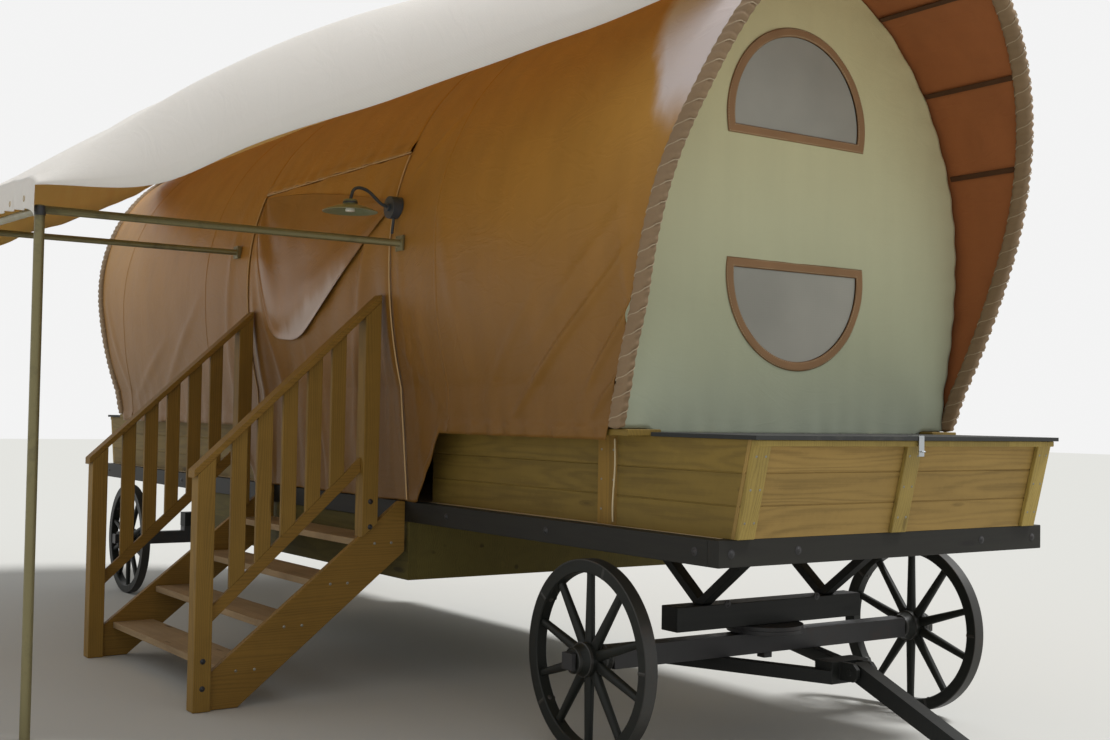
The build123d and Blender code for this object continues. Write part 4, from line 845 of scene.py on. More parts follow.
def sleeve(section, end):
    """Gathered sleeve round the front edge of the cover, a rounded band 95 mm wide and 50 mm thick."""
    s = np.linspace(-end, end, 720)[:, None]
    angle = round_about(26)[None, :]
    wide, thick = squared(angle, 0.6)
    # gathers every 45 mm, deeper on the outer front edge where the lace pulls
    pull = np.clip(wide + thick, 0, 2) / 2
    gather = 0.5 + 0.5 * np.cos(2 * np.pi * s / 0.045 + 0.6 * waves(s, 0 * s, 0.3, 4))
    size = 1 - 0.10 * gather - 0.16 * gather * pull + 0.03 * waves(s, angle, 0.5, 9)
    ends = np.clip((end - np.abs(s)) / 0.012, 0.02, 1) ** 0.5
    middle = hem_x(section.at(s)[..., 1]) - HEM_WIDTH / 2
    x = middle + HEM_WIDTH / 2 * wide * size * ends
    band = skin_points(section, x, s + 0 * angle, SLEEVE_LIFT + 0.0245 * thick * size * ends)
    return grid(band, close=(False, True))


def sleeve_lace(section, end):
    """Lace wound round the sleeve, one turn in 90 mm."""
    run = np.linspace(-end + 0.03, end - 0.03, 1900)
    wide, thick = squared(2 * np.pi * run / 0.09, 0.55)
    x = hem_x(section.at(run)[..., 1]) - HEM_WIDTH / 2 + (HEM_WIDTH / 2 - 0.003) * wide
    line = skin_points(section, x, run, SLEEVE_LIFT + 0.0225 * thick)
    return tube(line, 0.0028, 6, (1, 0, 0), 1)


def bonnet_strap(section, spot):
    """Flat webbing strap under the bonnet, from the end wall to the hem, at a distance from the crown."""
    along = np.concatenate([[0.0], np.linspace(0, 1, 26), [1.0]])[:, None]
    full = np.ones_like(along)
    full[[0, -1]] = 0.0
    wide, thick = squared(round_about(14)[None, :], 0.5)
    s = spot + 0.014 * full * wide
    begin = WALL_X + 0.006
    reach = hem_x(section.at(s)[..., 1]) - HEM_WIDTH + 0.012
    x = begin + along * (reach - begin)
    return grid(skin_points(section, x, s, -0.0075 + 0.0028 * full * thick), close=(False, True))


class WAGON_OT_hems(bpy.types.Operator):
    """Gathered and laced sleeve round the cover's open ends, and the straps under each bonnet"""

    bl_idname = "wagon.hems"
    bl_label = "End hems"

    def execute(self, context):
        cover = context.scene.wagon_cover
        section = Section(cover)
        end = section.down_to(RAIL_TOP)
        hem = canvas("gathered_sleeve_canvas", tuple(cover.hem), thread=0.003, rough=0.7, crease=0.3)
        cord = canvas("cotton_lace", linear("#ac9a80"), thread=0.003, rough=0.8, crease=0.0)
        parts = both_ends([sleeve(section, end), sleeve_lace(section, end)])
        make("end_hems", "wagon", parts, [hem, cord], ["cover_hems"], smooth=70, outward=True)
        # the straps stand at angles about the crown's centre
        table = np.linspace(-end, end, 1500)
        points = section.at(table)
        turns = np.arctan2(-points[..., 0], points[..., 1] - section.centre)
        angles = np.radians((-84, -60, -33, 0, 33, 60, 84))
        straps = both_ends([bonnet_strap(section, np.interp(angle, turns, table)) for angle in angles])
        webbing = [canvas("brown_webbing", linear("#4e3018"), thread=0.003, rough=0.7, crease=0.0, fade=0.1)]
        node = ["bonnet_purlins"]
        make("bonnet_straps", "wagon", straps, webbing, node, smooth=50, outward=True)
        return {"FINISHED"}


# windows as the heights of the flat edge and of the arc's tip, half their width, and their binding
WINDOWS = ((2.914, 3.48), (2.32, 1.79))
WINDOW_HALF = 0.457
BINDING = 0.045


def window_arc(flat, tip, inset):
    """Way to the tip, half width, flat edge, arc's centre and radius of a window drawn in by inset.

    The arc goes through both ends of the flat edge and the tip, so half^2 + rise^2 = 2 radius rise.
    """
    up = np.sign(tip - flat)
    half, flat, tip = WINDOW_HALF - inset, flat + up * inset, tip - up * inset
    rise = abs(tip - flat)
    radius = (half**2 + rise**2) / (2 * rise)
    return up, half, flat, tip - up * radius, radius


def window_line(flat, tip, inset, count=90):
    """Outline of a window: an arc through its tip, then its flat edge, drawn in by inset, as (y, z)."""
    up, half, flat, centre, radius = window_arc(flat, tip, inset)
    reach = np.arctan2(half, up * (flat - centre))
    angle = np.linspace(-reach, reach, count)
    arc = np.stack([radius * np.sin(angle), centre + up * radius * np.cos(angle)], -1)
    share = np.linspace(0, 1, count // 2)[1:-1, None]
    return np.concatenate([arc, arc[-1:] + share * (arc[:1] - arc[-1:])])


def outside_windows(middles):
    """Faces of the end wall to keep: those that don't reach past the middle of a window's binding."""
    kept = np.ones(len(middles), bool)
    for flat, tip in WINDOWS:
        up, _, edge, centre, radius = window_arc(flat, tip, 0.02)
        near = np.hypot(middles[:, 1], middles[:, 2] - centre) < radius
        kept &= ~(near & (up * (middles[:, 2] - edge) > 0))
    return kept


def stitches_along(stitch, line):
    """One stitch repeated every 14 mm along a closed line (y, z) on the binding, turned along it."""
    step = np.roll(line, -1, 0) - line
    run = np.concatenate([[0], np.cumsum(np.hypot(*step.T))])
    ring = np.concatenate([line, line[:1]])
    at = np.arange(0, run[-1], 0.014)
    spot, ahead = [np.stack([np.interp(d, run, ring[:, k]) for k in (0, 1)], -1) for d in (at, at + 0.004)]
    way = ahead - spot
    way = np.concatenate([0 * way[:, :1], way / np.linalg.norm(way, axis=1, keepdims=True)], -1)
    out = np.array([1.0, 0.0, 0.0])
    turns = np.stack([np.broadcast_to(out, way.shape), np.cross(way, out), way], -1)
    spots = np.concatenate([np.full((len(at), 1), WALL_X + 0.0072), spot], -1)
    return copies(stitch, spots, turns)


def end_wall_sheet(cover, section):
    """Cloth of the front end wall as a grid of (x, y, z), with holes for the windows."""
    a = np.linspace(-1, 1, 131)[None, :]
    b = np.linspace(0, 1, 181)[:, None]
    top = cover.crown_height - 0.026
    foot = BOX_TOP + 0.003 + 0.03 * smooth_step(np.abs(a), 0.80, 0.86)
    z = foot + (top - foot) * (1 - (1 - b) ** 1.8)
    half = np.abs(section.at(section.down_to(z), -0.024)[..., 0])
    half = half * np.clip((top + 0.004 - z) / 0.03, 0.05, 1) ** 0.5
    y = a * (half - (a < 0) * drawn_in(WALL_X, z, 1))
    # the cloth is drawn to the hoop by small pulls round its edge, and gathers at its foot
    sag = 0.004 * waves(y, z, 1.1, 21) + 0.0014 * waves(y, z, 0.3, 22)
    sag = sag + 0.0035 * np.exp(-(1 - np.abs(a)) * half / 0.07) * ripple(z, 0.16)
    sag = sag + 0.0035 * np.exp(-(z - foot) / 0.12) * ripple(y, 0.17, 2 * waves(y, 0 * y, 0.6, 23))
    face = np.stack([WALL_X + 0.0005 + np.clip(sag, -0.007, 0.007), y, z], -1)
    return grid(face, keep=outside_windows, flip=True)


def lashing_rope(thread):
    """Thin rope that hangs from the foot of the front wall beside the side post, to a bare end."""
    t = np.linspace(0, 1, 60)
    rope = np.stack([-0.80 + 0.012 * np.sin(5 * t), -0.982 - 0.006 * np.sin(4 * t), 1.452 - 0.38 * t], -1)
    round_rope = tube(rope, 0.004, 10, (1, 0, 0))
    line = make("lashing_rope", "wagon", [round_rope], [thread], smooth=180)


class WAGON_OT_end_walls(bpy.types.Operator):
    """Cream canvas wall at each end, with bound windows, stitching and a lashing rope at the front"""

    bl_idname = "wagon.end_walls"
    bl_label = "End walls"

    def execute(self, context):
        cover = context.scene.wagon_cover
        # yellower towards the top, and darker and bluer towards the foot, which is painted shade
        painted_light_by_height = (
            (1.5, (0.60, 0.68, 0.80)),
            (1.9, (0.76, 0.82, 0.86)),
            (2.5, (0.92, 0.94, 0.92)),
            (3.2, (1.0, 0.96, 0.84)),
            (3.8, (1.08, 1.0, 0.82)),
        )
        looks = {"rough": 0.8, "fade": 0.12, "crease": 0.15, "dirt": "#a8a486", "run": painted_light_by_height}
        cream = [canvas("cream_canvas", tuple(cover.wall), **looks)]
        walls = both_ends([end_wall_sheet(cover, Section(cover))])
        node = ["end_walls"]
        thing = make("end_wall_canvas", "wagon", walls, cream, node, wall=0.002, smooth=180)
        bindings, stitches = [], []
        share = np.linspace(0, 1, 9)
        spindle = np.array([(0, -1), (0.8, -0.75), (1, 0), (0.8, 0.75), (0, 1)]) * (0.0011, 0.0042)
        stitch = turned(spindle, 6)
        for flat, tip in WINDOWS:
            lines = np.stack([window_line(flat, tip, BINDING * q) for q in share])
            height = WALL_X + 0.0035 + 0.005 * (1 - (2 * share - 1) ** 6)[:, None]
            height = height + 0.0012 * waves(lines[..., 0], lines[..., 1], 0.2, 31)
            band = np.concatenate([height[..., None], lines], -1)
            bindings.append(grid(band, close=(False, True), flip=tip < flat))
            for inset in (0.006, BINDING - 0.006):
                stitches.append(stitches_along(stitch, window_line(flat, tip, inset, 240)))
        bound = canvas("binding_tape", tuple(cover.border), thread=0.003, rough=0.7, crease=0.1)
        thread = canvas("stitching_thread", linear("#d8c6a0"), thread=0.003, rough=0.7, crease=0.0)
        make("window_bindings", "wagon", both_ends(bindings), [bound], wall=0.0018, smooth=60)
        lashing_rope(thread)
        make("window_stitches", "wagon", both_ends(stitches), [thread], smooth=180)
        film = frame["nodes"]["window_panes"]
        film.data.materials.clear()
        film.data.materials.append(film_finish("frosted_vinyl_film", tuple(cover.pane)))
        return {"FINISHED"}


def film_finish(name, colour):
    """Soft vinyl film, milky and a little glossy, with a net pressed into it and cloth behind.

    A real net has lines 3 mm apart, and is drawn at 12 mm so that it shows.
    """

    def build(tree):
        place = add(tree, "TexCoord")["Object"]
        lines = {0: place, "Scale": WAVE_BAND / 0.012, "Distortion": 0.0}
        net = [add(tree, "TexWave", lines, bands_direction=way)["Fac"] for way in ("Y", "Z")]
        net = add(tree, "Math", {0: net[0], 1: net[1]}, operation="MAXIMUM")[0]
        cloud = add(tree, "TexNoise", {0: place, 2: 1.7, 3: 4.0})["Fac"]
        cloud = add(tree, "MapRange", {0: cloud, 1: 0.3, 2: 0.7, 3: 0.86, 4: 1.1})[0]
        tone = add(tree, "VectorMath", {0: colour[:3], "Scale": cloud}, operation="SCALE")[0]
        bump = add(tree, "Bump", {"Strength": 0.2, "Distance": 0.001, "Height": net})[0]
        sockets = {"Base Color": tone, "Roughness": 0.38, "Normal": bump}
        sockets.update({"Transmission Weight": 0.12, "IOR": 1.5})
        return add(tree, "BsdfPrincipled", sockets)[0]

    return finish(name, build)


# the swag's slack upper line and its lower edge, which falls to a blunt tip, as (x, z)
SWAG_UPPER = ((-4.60, 2.995), (-3.75, 2.93), (-2.63, 2.745))
SWAG_LOWER = (
    (-4.60, 2.99), (-4.53, 2.70), (-4.36, 2.34), (-4.21, 2.03),
    (-3.80, 2.00), (-3.42, 2.21), (-3.00, 2.46), (-2.63, 2.70),
)


def swag_sheet(section):
    """Loosely tied cloth over the door: a grid between its two lines, with folds that sag between ties."""
    share = np.linspace(0, 1, 240)
    lines = []
    for line in (rounded(SWAG_UPPER, 20, 0.5), rounded(SWAG_LOWER, 8, 0.35)):
        run = np.concatenate([[0], np.cumsum(np.hypot(*np.diff(line, axis=0).T))])
        lines.append([np.interp(share, run / run[-1], line[:, k])[None, :] for k in (0, 1)])
    a = 2 * share[None, :] - 1
    b = np.linspace(0, 1, 150)[:, None]
    x, z = [(1 - b) * upper + b * lower for upper, lower in zip(*lines)]
    deep = (1 - a**2) ** 0.6 * smooth_step(b, 0.0, 0.15)
    fold = 0.5 + 0.5 * np.sin(2 * np.pi * (1.7 * b + 0.3 * waves(a, b, 1.8, 52)) - 0.6)
    out = 0.015 + deep * (0.012 * b + 0.018 * fold) + 0.003 * waves(a * 2, b * 2, 0.7, 53) * deep
    roll = 0.010 * np.exp(-(((1 - b) / 0.03) ** 2)) * deep
    return grid(skin_points(section, x, section.down_to(z), np.clip(out + roll, 0.0125, 0.058)))


class WAGON_OT_door(bpy.types.Operator):
    """Canvas door in the side, with its piping and the loosely tied cloth that hangs over it"""

    bl_idname = "wagon.door"
    bl_label = "Side door"

    def execute(self, context):
        cover = context.scene.wagon_cover
        section = Section(cover)
        z = np.linspace(cover.foot_height + 0.001, DOOR_HEAD - 0.005, 200)[:, None]
        rear, front = DOOR_REAR + 0.003, DOOR_FRONT - 0.003
        x = np.linspace(rear, front, 240)[None, :]
        s = section.down_to(z) + 0 * x
        low = (3.0 - z) / 2
        fold = 0.006 * waves(x * 3.2, z * 0.5, 0.9, 41) + 0.004 * waves(x, z, 0.5, 42)
        hang = 0.010 * low * ripple(x, 0.33, 1.4 * waves(x, z * 0.3, 0.8, 43))
        pulls = creases(x, z, DOOR_CREASES)
        rim = np.minimum(smooth_step(x, rear, rear + 0.047), 1 - smooth_step(x, front - 0.047, front))
        grow = np.clip(0.004 + rim * (0.004 + fold + hang + pulls), 0.001, 0.032) * cover.fold
        door = [grid(skin_points(section, x + 0 * s, s, grow), flip=True)]
        cloth = cover_cloth(cover)
        node = ["door_flap"]
        thing = make("door_canvas", "wagon", door, cloth, node, wall=0.003, smooth=180)
        # piping down both sides of the door and along its head
        rim_s = section.down_to(np.linspace(1.07, 3.0, 160))
        piping = []
        for side in (DOOR_REAR - 0.002, DOOR_FRONT + 0.002):
            piping.append(tube(skin_points(section, np.full(160, side), rim_s, 0.012), 0.0045, 10, (1, 0, 0)))
        head_s = np.full(60, float(section.down_to(DOOR_HEAD - 0.002)))
        head = skin_points(section, np.linspace(DOOR_REAR, DOOR_FRONT, 60), head_s, 0.012)
        piping.append(tube(head, 0.0045, 10, (0, 1, 0)))
        pipe = canvas("pale_piping", linear("#c8a878"), thread=0.003, rough=0.6, crease=0.0)
        make("door_piping", "wagon", piping, [pipe], smooth=60)
        # painted highlight: the swag's pale part, where the light catches its fold, lies along the edge from
        # (-4.1, 2.02) to (-2.9, 2.5), square to (0.37, -0.93)
        edge = 0.37 * (FRONT_X - 3.4) - 0.93 * 2.22
        patch = [((0.37, 0.0, -0.93), edge - 0.10, edge + 0.03), ((0.0, 0.0, -1.0), -2.60, -2.25)]
        proofed = {"rough": 0.4, "coat": 0.15, "crease": 0.3}
        cloth = [canvas("sunlit_swag_canvas", linear("#93662a"), painted_highlight=patch, sun=0.5, **proofed)]
        swag, node = [swag_sheet(section)], ["door_swag"]
        thing = make("door_swag_canvas", "wagon", swag, cloth, node, wall=0.0025, smooth=180)
        return {"FINISHED"}


# tight lines of the fly sheet from the roof to the two posts, as (x, y) from end to end, width and
# height, and two slack ones between
FLY_PULLS = (
    ((-0.9, -1.0), (-2.46, -3.14), 0.10, 0.030),
    ((-3.3, -0.6), (-2.50, -3.14), 0.12, 0.026),
    ((-5.6, -0.6), (-4.84, -2.96), 0.12, 0.030),
    ((-6.9, -1.0), (-4.88, -2.96), 0.10, 0.026),
    ((-4.2, -0.6), (-3.70, -3.05), 0.25, -0.030),
    ((-1.9, -0.7), (-2.48, -3.10), 0.15, -0.020),
)

# angles from the crown, in degrees, at which the sheet leaves the roof and its front hem begins
FLY_TOP, FLY_SHOULDER = 7, 28


class WAGON_OT_fly_sheet(bpy.types.Operator):
    """Fly sheet from the crown to the outer rail, with its hanging edges and its eyelets"""

    bl_idname = "wagon.fly_sheet"
    bl_label = "Fly sheet"

    def execute(self, context):
        cover, fly = context.scene.wagon_cover, context.scene.wagon_fly
        section = Section(cover)
        # the sheet lies on the cover's slack cloth, 14.5 mm off its section
        radius = cover.crown_radius + 0.0145

        def roof(degrees):
            """Point (y, z) on the roof at an angle from the crown."""
            angle = np.radians(degrees)
            return np.array([-radius * np.sin(angle), section.centre + radius * np.cos(angle)])

        def arc(start, end, rise):
            """Height at any y on the line from start to end, raised in its middle by rise.

            The line is start + (end - start) t, and 4 rise t (1 - t) is added square to it.
            """
            t = np.linspace(0, 1, 200)[:, None]
            across = np.array([end[1] - start[1], start[0] - end[0]]) / np.hypot(*(end - start))
            line = start + (end - start) * t + np.sign(across[1]) * across * 4 * rise * t * (1 - t)
            return lambda y: np.interp(-y, -line[:, 0], line[:, 1])

        edge = np.array([-fly.edge_out, fly.edge_height])
        over = arc(roof(FLY_TOP), edge + (0, 0.008), fly.bow)
        straight = arc(roof(FLY_SHOULDER), edge - (0, 0.02), -fly.front_sag)

        def under(y):
            """Height of the front hem: it hangs deepest 0.4 m from the outer corner."""
            bell = np.exp(-(((y + 2.76) / 0.33) ** 2))
            return straight(y) + 0.035 * (1 - smooth_step(-y, 1.6, 2.2)) - 0.13 * bell

        # the sheet narrows from the shoulder to the outer corners at both posts, as (x, y)
        shoulder, front = roof(FLY_SHOULDER)[0], hem_x(3.8) - HEM_WIDTH
        near_corner, far_corner = (-2.42, edge[0]), (-4.9, edge[0] + 0.2)

        def rim(x):
            """y of the outer edge, from one corner to the other."""
            return np.interp(x, [far_corner[0], near_corner[0]], [far_corner[1], near_corner[1]])

        u = np.concatenate([np.linspace(0, 1, 170), 1 + np.linspace(0.004, 0.05, 16)])[:, None]
        even = np.linspace(0, 1, 260)[None, :]
        v = 0.55 * (0.5 - 0.5 * np.cos(np.pi * even)) + 0.45 * even
        y = u.clip(0, 1) * edge[0] + 0 * v
        for _ in range(3):
            near = np.interp(-y, [0, -shoulder, -near_corner[1]], [front, front, near_corner[0]])
            far = np.interp(-y, [0, -shoulder, -far_corner[1]], [-BED - front, -BED - front, far_corner[0]])
            x = far + v * (near - far)
            y = u.clip(0, 1) * rim(x)
        on_roof = section.centre + np.sqrt(np.maximum(radius**2 - y**2, 0))
        z = np.where(-y < -roof(FLY_TOP)[0], on_roof, over(y))
        # both free edges roll down over their last 0.30 m
        hang = np.clip(z - under(y), 0, None) * smooth_step(-y, -shoulder - 0.02, -shoulder + 0.25)
        for distance in (near - x, x - far):
            roll = np.clip(1 - distance / 0.30, 0, 1)
            z = z - hang * (1 - np.sqrt(1 - roll**2)) * 0.98
        free = smooth_step(-y, 0.2, 0.7)
        z = z + free * (0.016 * waves(x, y, 1.7, 61) + 0.006 * waves(x, y, 0.5, 62))
        z = z + free * creases(x, y, FLY_PULLS)
        # the valance hangs past the outer edge
        past = np.clip(u - 1, 0, None) / 0.05
        z = z - fly.valance * past + 0.004 * past * ripple(x, 0.37)
        y = y - 0.010 * np.sin(np.pi * past.clip(0, 1) * 0.5) + 0.010 * past * ripple(x, 0.31)
        # painted sunlight: the outer side is tan canvas drawn near white where the sun falls on it
        sunlit_pale = {"rough": 0.62, "fade": 0.1, "crease": 0.12, "glow": 0.18, "dirt": "#ece6d8"}
        backlit = {"rough": 0.6, "fade": 0.2, "crease": 0.4, "glow": 0.75, "dirt": "#dca864"}
        cloth = [canvas("sunlit_painted_canvas", tuple(fly.outer), **sunlit_pale)]
        cloth.append(canvas("backlit_canvas", tuple(fly.inner), **backlit))
        sheet, node = [grid(np.stack([x, y, z], -1))], ["fly_sheet"]
        thing = make("fly_sheet_canvas", "wagon", sheet, cloth, node, wall=0.003, smooth=180)
        # eyelets along the outer edge
        rim_x = np.linspace(-4.7, -2.6, 6)
        rim_y = rim(rim_x) - 0.016
        rim_z = over(rim_y + 0.012) - fly.valance + 0.03
        ring = turned([(0.009, 0.0015), (0.012, 0.003), (0.016, 0.0015), (0.012, 0.0)], 20, close=True)
        eyelets = copies(ring, np.stack([rim_x, rim_y, rim_z], -1), [facing((0, -1, 0))] * 6)
        brass = painted("brass_eyelet", linear("#9a8048"), 0.35, 1.0)
        make("fly_eyelets", "wagon", [eyelets], [brass])
        return {"FINISHED"}


# how a board's grain is brought to X: along X, Y or Z, or up the slope of the stairs
GRAIN = {"x": (0, 0, 0), "y": (0, 0, np.pi / 2), "z": (0, np.pi / 2, 0), "slope": (0, 0.86, np.pi / 2)}
PINE_NODES = (
    # node, slot, finish, way of the grain, board size, board start
    ("box_end_boards", "box_pine", "oiled_pine_end_planks", "y", (9, 9, PLANK), (0, 0, BOX_FOOT)),
    ("box_end_battens", "batten_pine", "planed_pine_battens", "z", (9, 0.4, 9), (0, 0, 0)),
    ("locker_sides", "box_pine", "oiled_pine_side_planks_painted_shade", "x", (9, 1.2, PLANK), (0, 0, BOX_FOOT)),
    ("side_boards", "box_pine", "oiled_pine_side_planks_painted_shade", "x", (9, 1.2, PLANK), (0, 0, BOX_FOOT)),
    # the side posts take the darker post finish as painted shade, for the shade along the wagon's side
    ("side_posts", "batten_pine", "treated_pine_posts", "z", (1.5, 0.7, 9), (0, 0, 0)),
    ("rim_rails", "box_pine", "oiled_pine_side_planks_painted_shade", "x", (9, 1.2, PLANK), (0, 0, BOX_FOOT)),
    ("bulkheads", "box_pine", "oiled_pine_end_planks", "y", (9, 9, PLANK), (0, 0, BOX_FOOT)),
    ("deck_boards", "deck_pine", "deck_pine", "x", (9, 0.14, 9), (0, 0, 0)),
    ("underfloor_casing", "casing_pine", "pine_casing_painted_shade", "x", (9, 9, 0.166), (0, 0, 0.61)),
    ("stair_treads", "tread_pine", "sawn_pine_treads", "x", (9, 0.265, 9), (0, 0.01, 0)),
    ("stair_stringers", "stair_pine", "treated_pine_stringers", "slope", (1.5, 9, 9), (0.3, 0, 0)),
    ("stair_newels", "stair_pine", "treated_pine_posts", "z", (1.5, 0.7, 9), (0.3, 0.2, 0)),
    ("handrails", "rail_pine", "treated_pine_stringers", "slope", (1.5, 9, 9), (0.3, 0, 0)),
    ("low_rails", "rail_pine", "treated_pine_stringers", "slope", (1.5, 9, 9), (0.3, 0, 0)),
    ("balusters", "stair_pine", "treated_pine_posts", "z", (1.5, 0.14, 9), (0.3, 0.02, 0)),
)
TONES = {
    # pale and dark colour, roughness and soil of weathered softwood: reddish in the deck and treads, greenish
    # where it is pressure treated. The side planks are darker than the end planks, and the casing darker
    # still, as painted shade
    "deck_pine": ("#a98456", "#66482a", 0.72, 0.35),
    "pine_casing_painted_shade": ("#5e5426", "#3a3014", 0.7, 0.3),
    "sawn_pine_treads": ("#a88f6c", "#6a5034", 0.75, 0.35),
    "treated_pine_stringers": ("#8c6a2c", "#4e3812", 0.62, 0.2),
    "treated_pine_posts": ("#8e6e30", "#503c16", 0.62, 0.2),
    "planed_pine_battens": ("#9c8646", "#5e4a20", 0.58, 0.15),
    "oiled_pine_side_planks_painted_shade": ("#7c662e", "#443414", 0.6, 0.22),
}


class WAGON_OT_timber(bpy.types.Operator):
    """Boards, posts, sills and stairs, with eased edges and grain along each board"""

    bl_idname = "wagon.timber"
    bl_label = "Timber"

    def execute(self, context):
        wood = context.scene.wagon_timber
        for node, slot, name, way, board, start in PINE_NODES:
            tone = TONES.get(name)
            pale = linear(tone[0]) if tone else tuple(wood.pine)
            dark = linear(tone[1]) if tone else tuple(wood.pine_dark)
            rough, soil = tone[2:] if tone else (0.6, 0.22)
            stuff = timber(name, pale, dark, GRAIN[way], board, start, rough=rough, soil=soil)
            eased(node, stuff, wood.edge)
        stain, shadow = tuple(wood.stain), linear("#1a1516")
        stained = timber("dark_stained_sill", stain, shadow, GRAIN["x"], rough=0.55, soil=0.1)
        across = timber("dark_stained_end_sill", stain, shadow, GRAIN["y"], rough=0.55, soil=0.1)
        tar, shadow = linear("#191a18"), linear("#0c0d0c")
        tarred = timber("tarred_timber", tar, shadow, GRAIN["y"], rough=0.5, soil=0.1)
        for stuff, slot, nodes in (
            (stained, "sill_timber", ["long_sills"]),
            (across, "sill_timber", ["end_sills", "cross_bearers"]),
            (tarred, "dark_timber", ["bolsters", "body_struts", "fore_hounds", "drawbar"]),
        ):
            for node in nodes:
                eased(node, stuff, wood.edge)
        return {"FINISHED"}


class WAGON_OT_bolts(bpy.types.Operator):
    """Screws and coach bolts in the box, the sills, the stairs and the running gear"""

    bl_idname = "wagon.bolts"
    bl_label = "Bolts and screws"

    def execute(self, context):
        head = context.scene.wagon_iron.bolt
        # radii of the heads of wood screws, in the box and in the stairs
        small, large = 0.0042, 0.006
        screws, coach = [], []
        planks = [BOX_FOOT + PLANK * (k + 0.5) for k in range(3)]
        # two screws side by side where a batten or a side post crosses a plank
        for y in (-0.9185, 0.0, 0.9185):
            starts = [(1.0, y + side, z) for z in planks for side in (-0.026, 0.026)]
            screws += bolts("box_end_battens", starts, (-1, 0, 0), small)
        screws = both_ends(screws)
        for side in (-1, 1):
            for x in (-0.875, 0.875 - BED):
                starts = [(x + move, side * 2.5, z) for z in planks for move in (-0.045, 0.045)]
                screws += bolts("side_posts", starts, (0, -side, 0), small)
        # coach bolts through the sills, at half their height
        middle = (SILLS[0].z + SILLS[1].z) / 2
        # x from which a ray meets the front end, or the rear end
        ahead = {1: 3, -1: -3 - BED}
        for way in (-1, 1):
            starts = [(ahead[way], y, middle) for y in (-0.98, -0.6, 0.6, 0.98)]
            coach += bolts("end_sills", starts, (-way, 0, 0), head)
        for side in (-1, 1):
            starts = [(x, side * 3, middle) for x in (-0.15, -1.25, -2.2, -5.2, -6.3, -BED + 0.15)]
            coach += bolts("long_sills", starts, (0, -side, 0), head)
        # two screws through each stringer into each tread, and two bolts in each newel
        places = np.array([v.co for v in frame["nodes"]["stair_treads"].data.vertices]) - ORIGIN
        for z in np.unique(places[:, 2].round(3))[1::2]:
            step = places[np.abs(places[:, 2] - z) < 0.002, 1]
            for way in (-1, 1):
                x = STAIR_X - way * 2.0
                starts = [(x, step.min() + share * np.ptp(step), z - 0.02) for share in (0.3, 0.7)]
                screws += bolts("stair_stringers", starts, (way, 0, 0), large)
        for y, heights in ((-2.2225, (0.12, 0.26)), (-1.2825, (0.92, 1.06))):
            for way in (-1, 1):
                starts = [(STAIR_X - way * 2.0, y, z) for z in heights]
                coach += bolts("stair_newels", starts, (way, 0, 0), head * 0.8)
        # two bolts, one above the other, on either side of each bolster's middle
        for way in (-1, 1):
            for y in (-0.3, 0.3):
                coach += bolts("bolsters", [(ahead[way], y, z) for z in (0.66, 0.74)], (-way, 0, 0), head)
        zinc = painted("zinc_screw", linear("#8e8c80"), 0.4, 1.0, "#6a5a40", 0.6)
        make("wood_screws", "wagon", screws, [zinc])
        make("coach_bolts", "wagon", coach, [black_iron()])
        return {"FINISHED"}


class WAGON_OT_running_gear(bpy.types.Operator):
    """Axles, king pin and turning plates under black paint"""

    bl_idname = "wagon.running_gear"
    bl_label = "Running gear"

    def execute(self, context):
        for node in ("king_pin_plate", "front_axle", "turning_plate", "rear_axle"):
            eased(node, black_iron(), 0.002)
        return {"FINISHED"}


